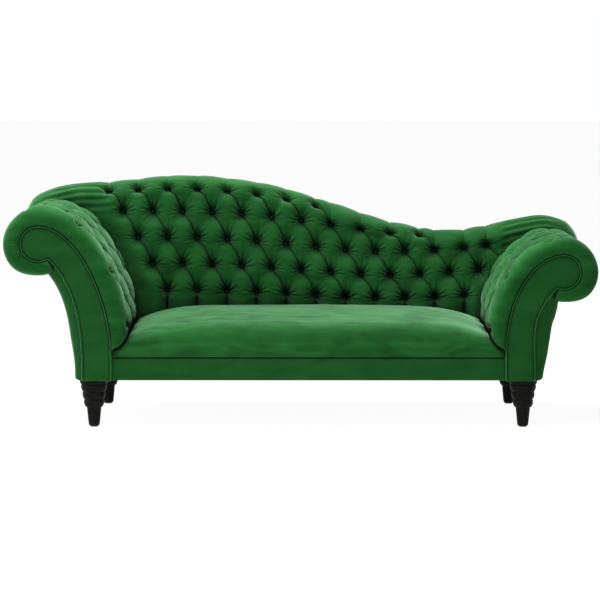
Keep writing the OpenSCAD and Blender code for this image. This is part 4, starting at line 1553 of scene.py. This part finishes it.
@dataclass
class FrontBorder:
    """The padded cover of the front rail, under the seat's seam."""

    layout: Layout
    velvet: Material
    edge: float = 6

    def build(self) -> Piece:
        """Makes the border."""
        lay, skin = self.layout, Skin()
        rail_y = lay.facing_y + lay.facing_t + lay.board_t
        low, high, rear = lay.leg_h + 1, lay.seam_z - lay.gap, rail_y - lay.gap
        turn = np.linspace(0, math.pi / 2, 6)
        bend = [(self.edge * (1 - math.sin(c)), self.edge * (1 - math.cos(c))) for c in turn]
        ring = [(rear, low)]
        ring += [(lay.seat_y0 + a, low + b) for a, b in bend]
        ring += [(lay.seat_y0, z) for z in np.linspace(low + self.edge, high - self.edge, 12)[1:-1]]
        ring += [(lay.seat_y0 + b, high - a) for a, b in bend]
        ring += [(rear, high)]
        yz = np.array(ring)
        x = np.linspace(lay.edge(Side.LEFT) + lay.gap, lay.edge(Side.RIGHT) - lay.gap, 180)
        rings = np.empty((len(x), len(yz), 3))
        rings[..., 0] = x[:, None]
        rings[..., 1] = yz[:, 0]
        rings[..., 2] = yz[:, 1]
        middle = hill(yz[:, 1] - (low + high) / 2, 24) * (yz[:, 0] < lay.seat_y0 + 2)
        rings[..., 1] -= middle * (1.4 + 0.8 * ripple(31, 230, x)[:, None])
        skin.tube(rings)
        return dress_pad(skin, "front_border", self.velvet)


@dataclass
class ArmFront:
    """One arm's facing with its piping, and the padded cover outside the stem."""

    shape: ArmShape
    velvet: Material
    # Piping velvet, painted lighter as a painted highlight on the welt.
    highlight_trim: Material
    welt_r: float = 2.7
    welt_sides: int = 10
    corner: float = 14

    def xz(self, outline: Array) -> Array:
        """World X and Z of outline points."""
        return self.shape.world(outline, 0.0)[:, [0, 2]]

    def build_facing(self) -> Piece:
        """Makes the padded facing."""
        lay, shape = self.shape.layout, self.shape
        line = self.xz(shape.outline(-lay.gap - 0.4, lay.leg_h - 0.6))
        rounding = ((0.2, 7), (0.6, 4.6), (1.4, 2.9), (2.6, 1.7), (4.5, 0.8))
        swelling = ((7, 0.2), (11, -0.5), (18, -1.3), (27, -1.6))
        rear = lay.facing_y + lay.facing_t - lay.gap
        skin = padded_plate(line, lay.facing_y, rear, rounding + swelling)
        return dress_pad(skin, f"{shape.side.value}_facing", self.velvet, 70)

    def build_piping(self) -> Piece:
        """Makes the thin welt in the crease round the facing."""
        lay, shape = self.shape.layout, self.shape
        line = shape.world(shape.outline(0.6, lay.leg_h + 3), lay.facing_y - 0.6)
        along = np.gradient(line, axis=0)
        along /= np.linalg.norm(along, axis=1, keepdims=True)
        side = np.stack([-along[:, 2], np.zeros(len(line)), along[:, 0]], -1)
        turn = turns(self.welt_sides)
        rings = line[:, None] + self.welt_r * (
            np.cos(turn)[:, None] * side[:, None] + np.sin(turn)[:, None] * np.array([0.0, 1.0, 0.0])
        )
        skin = Skin()
        skin.tube(rings)
        name = f"{shape.side.value}_facing_piping"
        return dress(skin.piece(f"{name}_cord", self.highlight_trim), (name,))

    def build_outside(self) -> Piece:
        """Makes the padded cover on the outside of the arm."""
        lay, shape = self.shape.layout, self.shape
        t = np.linspace(0, 1, 60)
        foot = np.linspace(lay.leg_h + 1, shape.outer_z, 16)[:-1]
        low = np.stack([np.full(15, lay.stem_w), foot], -1)
        base = np.concatenate([low, bezier(shape.outer_curve, t)])
        away = np.concatenate([np.tile([1.0, 0.0], (15, 1)), -bezier_normal(shape.outer_curve, t)])
        front, rear = lay.facing_y, lay.frame_rear_y
        edge = ((0.0, 6), (0.05, 6.2), (0.14, 7.2), (0.28, 8.8), (0.44, 10.6))
        edge += ((0.62, 12.5), (0.78, 16.5), (0.9, 22.5), (0.97, 30))
        profile = [(0.0, rear), *((share, front + back) for share, back in edge)]
        profile += [(1.0, y) for y in np.linspace(front + 40, rear, 40)]
        z = base[:, 1]
        corner = self.corner * (1 - quarter((z - lay.leg_h - 1) / self.corner))
        rise = hill(np.minimum(z, 285) - 285, 85)
        belly = rise * smooth((500 - z) / 70) - 1.3 * smooth((z - 470) / 50)
        thick = shape.outside_thick(z) - corner + shape.belly * belly
        rings = [
            [shape.world(b + n * max(3 * lay.gap, w * d), y) for w, y in profile]
            for b, n, d in zip(base, away, thick)
        ]
        skin = Skin()
        skin.tube(np.array(rings))
        return dress_pad(skin, f"{shape.side.value}_outside_arm", self.velvet, 60)


@dataclass
class OutsideBack:
    """The flat cover of the back's rear."""

    shape: BackShape
    velvet: Material

    def stem(self, arm: ArmShape) -> Array:
        """World X and Z up one side, from the foot to beside the scroll head."""
        lay = self.shape.layout
        t = np.linspace(0, arm.stem_end, 40)
        line = bezier(arm.outer_curve, t)
        line = line - arm.outside_thick(line[:, 1])[:, None] * bezier_normal(arm.outer_curve, t)
        angle = mix(arm.notch_angle + 24, -12, np.linspace(0, 1, 24))
        reach = arm.head_r + arm.roll_thick(angle) - 4
        a = np.radians(angle)
        head = np.stack([arm.head_u + reach * np.cos(a), arm.head_z + reach * np.sin(a)], -1)
        side = np.concatenate([[[lay.stem_w + lay.outside_t, lay.leg_h + 2]], line, head])
        return arm.world(side, 0.0)[:, [0, 2]]

    def build(self) -> Piece:
        """Makes the cover."""
        lay, shape = self.shape.layout, self.shape
        x = np.linspace(-lay.couch_w / 2 + 24, lay.couch_w / 2 - 24, 200)
        top = np.stack([x, shape.crest(x) - lay.top_roll_r - 24], -1)
        line = np.concatenate([self.stem(shape.left), top, self.stem(shape.right)[::-1]])
        front = lay.frame_rear_y + lay.gap
        edge = ((0.2, 6), (1.2, 3), (3, 1.2), (6, 0.3), (12, -0.6), (24, -0.8))
        skin = padded_plate(line, front + lay.outside_back_t - 0.4, front, edge)
        return dress_pad(skin, "outside_back", self.velvet, 70)


@dataclass
class TurnedLeg:
    """A turned leg: a flange, three swelling rings and a fluted, tapering shaft."""

    name: str
    layout: Layout
    x: float
    y: float
    wood: Material
    top_r: float = 52
    foot_r: float = 20
    flutes: int = 12
    flange_h: float = 15
    ring_h: float = 29
    glide_t: float = 4
    flute_depth: float = 2.3
    sides: int = 144

    @property
    def shaft_top(self) -> float:
        """Height at which the rings start."""
        return self.layout.leg_h - self.flange_h - 3 * self.ring_h

    def profile(self) -> Array:
        """Radius and height from the foot to the flange."""
        shaft_r, shaft_top = self.foot_r + 7, self.shaft_top
        line = [(0.05, self.glide_t), (self.foot_r - 3, self.glide_t)]
        line += [
            (self.foot_r - 3 + 3 * math.sin(c), self.glide_t + 3 * (1 - math.cos(c)))
            for c in np.linspace(0.3, math.pi / 2, 5)
        ]
        line += [
            (self.foot_r + 7 * (z - self.glide_t) / (shaft_top - self.glide_t), z)
            for z in np.linspace(self.glide_t + 4, shaft_top, 44)
        ]
        for ring in range(3):
            r0 = shaft_r + 3 + (self.top_r - 9 - shaft_r) * ring / 3
            r1 = shaft_r + 3 + (self.top_r - 9 - shaft_r) * (ring + 1) / 3
            for f in np.linspace(0, 1, 20):
                swell = 4.6 * math.sin(math.pi * f) ** 0.7
                line.append((r0 + (r1 - r0) * f + swell, shaft_top + self.ring_h * (ring + f)))
        low = self.layout.leg_h - self.flange_h
        line += [(self.top_r - 2.5, low + 1.2), (self.top_r - 0.8, low + 2.4), (self.top_r, low + 4.5)]
        line += [(self.top_r, self.layout.leg_h), (0.05, self.layout.leg_h)]
        return np.array(line)

    def build(self) -> Piece:
        """Makes the leg."""
        line = self.profile()
        turn = turns(self.sides)
        r, z = line[:, 0][:, None], line[:, 1][:, None]
        reach = smooth((z - self.glide_t - 6) / 8) * smooth((self.shaft_top - 8 - z) / 8)
        wave = np.abs(np.cos(turn * self.flutes / 2))
        cut = self.flute_depth * np.sqrt(np.maximum(0, 1 - (wave / 0.8) ** 2)) * reach
        radius = r - np.where(r > 5, cut, 0)
        x, y = self.x + radius * np.cos(turn), self.y + radius * np.sin(turn)
        skin = Skin()
        skin.tube(np.stack([x, y, np.broadcast_to(z, radius.shape)], -1))
        return dress(skin.piece(f"{self.name}_turned", self.wood, 35), (self.name,))


@dataclass
class HiddenWork:
    """Finishes of the frame, springs and fittings, and the cloths inside and under the couch."""

    finishes: dict[Slot, Material]
    record: dict

    def paint(self, nodes: dict[str, Piece]) -> None:
        """Gives each CAD node that still shows its slot's finish.

        Args:
            nodes: The frame's nodes by name.
        """
        slots = {part["node"]: Slot(part["material_slot"]) for part in self.record["subparts"]}
        for name, made in nodes.items():
            if made.hide_render or slots[name] not in self.finishes:
                continue
            made.data.materials.clear()
            made.data.materials.append(self.finishes[slots[name]])
            for polygon in made.data.polygons:
                polygon.material_index = 0

    def sheet(self, name: str, node: str, slot: Slot, sag: float, thick: float) -> Piece:
        """Makes a flat cloth in a CAD node's place.

        Args:
            name: The piece's name.
            node: The CAD node.
            slot: Its material slot.
            sag: How far its middle hangs down.
            thick: Its thickness.

        Returns:
            The piece.
        """
        low, high = (np.array(c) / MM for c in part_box(node))
        x, y = np.linspace(low[0] + 1, high[0] - 1, 90), np.linspace(low[1] + 1, high[1] - 1, 46)
        gx, gy = np.meshgrid(x, y, indexing="ij")
        u, v = (gx - low[0]) / (high[0] - low[0]), (gy - low[1]) / (high[1] - low[1])
        waves = 0.3 * sag * ripple(41, 200, gx, gy) * u * (1 - u) * v * (1 - v) * 16
        drop = sag * np.sin(np.pi * u) * np.sin(np.pi * v) + waves
        skin = Skin()
        upper = np.stack([gx, gy, high[2] - 0.1 - drop], -1)
        lower = upper - [0, 0, thick]
        skin.grid(upper)
        skin.grid(lower)
        for edge in (np.s_[0, :], np.s_[-1, :], np.s_[:, 0], np.s_[:, -1]):
            skin.grid(np.stack([upper[edge], lower[edge]]))
        return dress(skin.piece(name, self.finishes[slot]), (node,))


# Studio


@dataclass
class Studio:
    """Floor, lamps and camera."""

    eye: Place = (0.0284, -9.415, 1.303)
    pitch: float = 5.233
    turn: float = 0.1945
    lens: float = 147.4
    ambient: float = 0.08
    floor_glow: float = 1.06
    floor_white: float = 0.9
    floor_half: float = 60

    def camera(self) -> None:
        """Sets the camera at the photograph's view."""
        data = bpy.data.cameras.new("camera")
        data.lens, data.sensor_width = self.lens, 36
        data.clip_end = 200
        made = bpy.data.objects.new("camera", data)
        made.location = self.eye
        made.rotation_euler = (math.radians(90 - self.pitch), 0, math.radians(self.turn))
        bpy.context.scene.collection.objects.link(made)
        bpy.context.scene.camera = made

    def lamp(
        self, name: str, place: Place, aim: Place, size: tuple[float, float], power: float
    ) -> None:
        """Adds one soft lamp.

        Args:
            name: The lamp's name.
            place: Where it hangs.
            aim: What it points at.
            size: Width and height.
            power: Strength in watts.
        """
        data = bpy.data.lights.new(name, "AREA")
        data.shape, data.size, data.size_y, data.energy = "RECTANGLE", size[0], size[1], power
        made = bpy.data.objects.new(name, data)
        made.location = place
        made.rotation_euler = (Vector(aim) - Vector(place)).to_track_quat("-Z", "Y").to_euler()
        bpy.context.scene.collection.objects.link(made)

    def seen(self, graph: Graph) -> Socket:
        """1 for what the camera or a reflection sees, otherwise 0."""
        ray = graph.node("ShaderNodeLightPath")
        return graph.math("MAXIMUM", ray.outputs["Is Camera Ray"], ray.outputs["Is Glossy Ray"])

    def backdrop(self) -> None:
        """Makes the pale floor and the white world."""
        material = bpy.data.materials.new("pale_floor")
        material.use_nodes = True
        graph = Graph(material.node_tree)
        shader = material.node_tree.nodes["Principled BSDF"]
        cloud = graph.noise(graph.place(), 0.6, 2)
        tint = graph.blend(cloud, (0.8, 0.8, 0.8, 1), (0.83, 0.83, 0.83, 1))
        graph.feed(shader, {"Base Color": tint})
        shader.inputs["Roughness"].default_value = 0.9
        white = graph.node("ShaderNodeEmission", {"Color": (1, 1, 1, 1), "Strength": self.floor_glow})
        share = graph.times(self.seen(graph), self.floor_white)
        parts = {0: share, 1: shader.outputs[0], 2: white.outputs[0]}
        mixed = graph.node("ShaderNodeMixShader", parts).outputs[0]
        graph.feed(material.node_tree.nodes["Material Output"], {"Surface": mixed})
        mesh = bpy.data.meshes.new("floor")
        h = self.floor_half
        mesh.from_pydata([(-h, -h, 0), (h, -h, 0), (h, h, 0), (-h, h, 0)], [], [(0, 1, 2, 3)])
        mesh.materials.append(material)
        floor = bpy.data.objects.new("floor", mesh)
        bpy.context.scene.collection.objects.link(floor)

        world = bpy.data.worlds.new("studio")
        world.use_nodes = True
        bpy.context.scene.world = world
        graph = Graph(world.node_tree)
        sky = world.node_tree.nodes["Background"]
        sky.inputs["Color"].default_value = (1, 1, 1, 1)
        graph.feed(sky, {"Strength": graph.remap(self.seen(graph), (0, 1), (self.ambient, 1.0))})

    def build(self) -> None:
        """Sets up everything round the couch."""
        self.camera()
        self.backdrop()
        self.lamp("overhead", (-1.0, -0.1, 4.2), (0.0, 0.0, 0.4), (4.5, 3.0), 560)
        self.lamp("front", (-1.0, -6.5, 3.0), (0.0, 0.0, 0.5), (3.0, 2.0), 90)
        self.lamp("left", (-4.6, -0.6, 2.6), (-0.6, 0.0, 0.5), (2.0, 2.0), 110)
        bpy.context.scene.view_settings.view_transform = "Standard"


def finishes() -> dict[str, Material]:
    """Every material by name."""
    # Each velvet's reach sets how far its painted shade in hollows spreads.
    made = {
        "pads": Velvet("velvet_pads"),
        "arms": Velvet("velvet_arms", sheen=0.36, brush=0.7),
        "seat": Velvet("velvet_seat", sheen=0.95, brush=0.8, reach=0.035),
        "flat": Velvet("velvet_flat", reach=0.012, shade=(10, 54, 16), lit=(20, 74, 26), brush=0.35),
        # Piping velvet: the cloth's own green, painted lighter than the facings' velvet as a painted
        # highlight for the light the welt catches.
        "highlight_trim": Velvet("velvet_highlight_trim", shade=(14, 60, 21), lit=(29, 92, 39), brush=0.3, reach=0.01),
        "ebony": Wood(
            "ebonised_turning",
            relief=0.35,
            relief_m=0.0006,
            early=(15, 14, 12),
            late=(8, 8, 7),
            roughness=0.5,
            dust=0.01,
            specular=0.07,
        ),
        "beech": Wood("planed_beech", 0.3),
        "board": Wood("bent_plywood", 0.3, early=(196, 160, 112), late=(160, 122, 78), fineness=30),
        "steel": Hard("zinc_plate"),
        "plastic": Hard("moulded_nylon", colour=(30, 30, 30), roughness=0.55, metallic=0.0),
        "cloth": Cloth("dust_cloth", thread=(34, 34, 36), gap=(16, 16, 18), count=2600),
        "felt": Cloth("needled_felt", thread=(122, 122, 116), gap=(84, 84, 80), count=3000),
        "jute": Cloth("jute_webbing_weave", thread=(170, 140, 94), gap=(92, 70, 42), count=1300),
    }
    return {key: finish.make() for key, finish in made.items()}


def main() -> None:
    """Builds the couch and the studio round it."""
    logging.basicConfig(level=logging.INFO, format="%(message)s")
    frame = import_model()
    layout = Layout()
    left = ArmShape(
        layout,
        Side.LEFT,
        head_r=64,
        head_z=682,
        inner_rise=0.33,
        inner_sweep=0.6,
        outer_rise=0.5,
        outer_sweep=0.3,
        notch_angle=-125,
        button_shift=41,
        top_swell=10,
        roll_hollow=14,
        outside_swell=11,
        stem_end=0.84,
        belly=0,
    )
    right = ArmShape(
        layout,
        Side.RIGHT,
        head_r=62,
        head_z=579,
        inner_rise=0.58,
        inner_sweep=0.5,
        outer_rise=0.4,
        outer_sweep=0.5,
        notch_angle=-112,
        button_shift=-59,
        top_swell=0,
        roll_hollow=18,
        outside_swell=19,
        stem_end=0.87,
        belly=14,
    )
    back = BackShape(layout, left, right)
    look = finishes()

    back_pad = BackPad(back, look["pads"])
    back_pad.build()
    CoveredButtons("back_buttons", look["pads"], layout).build(back_button_places(back_pad))
    for arm in (left, right):
        pad = ArmPad(arm, back, look["arms"])
        pad.build()
        buttons = CoveredButtons(f"{arm.side.value}_arm_buttons", look["arms"], layout)
        buttons.build(arm_button_places(pad))
        front = ArmFront(arm, look["flat"], look["highlight_trim"])
        front.build_facing()
        front.build_piping()
        front.build_outside()
    SeatPad(layout, left, right, look["seat"]).build()
    FrontBorder(layout, look["flat"]).build()
    OutsideBack(back, look["flat"]).build()
    for end, y in zip(("front", "rear"), layout.leg_y):
        for side, x in zip(Side, layout.leg_x):
            TurnedLeg(f"{end}_{side.value}_leg", layout, x, y, look["ebony"]).build()

    inner_slots = [slot for slot in Slot if slot not in (Slot.VELVET, Slot.EBONY)]
    slots = {slot: look[slot.name.lower()] for slot in inner_slots}
    hidden = HiddenWork(slots, frame["record"])
    cover = hidden.sheet("dust_cover_cloth", "dust_cover", Slot.CLOTH, 2.0, 0.6)
    felt = hidden.sheet("spring_felt_pad", "spring_felt", Slot.FELT, 0.0, 5.4)
    hidden.paint(frame["nodes"])

    Studio().build()


if __name__ == "__main__":
    main()
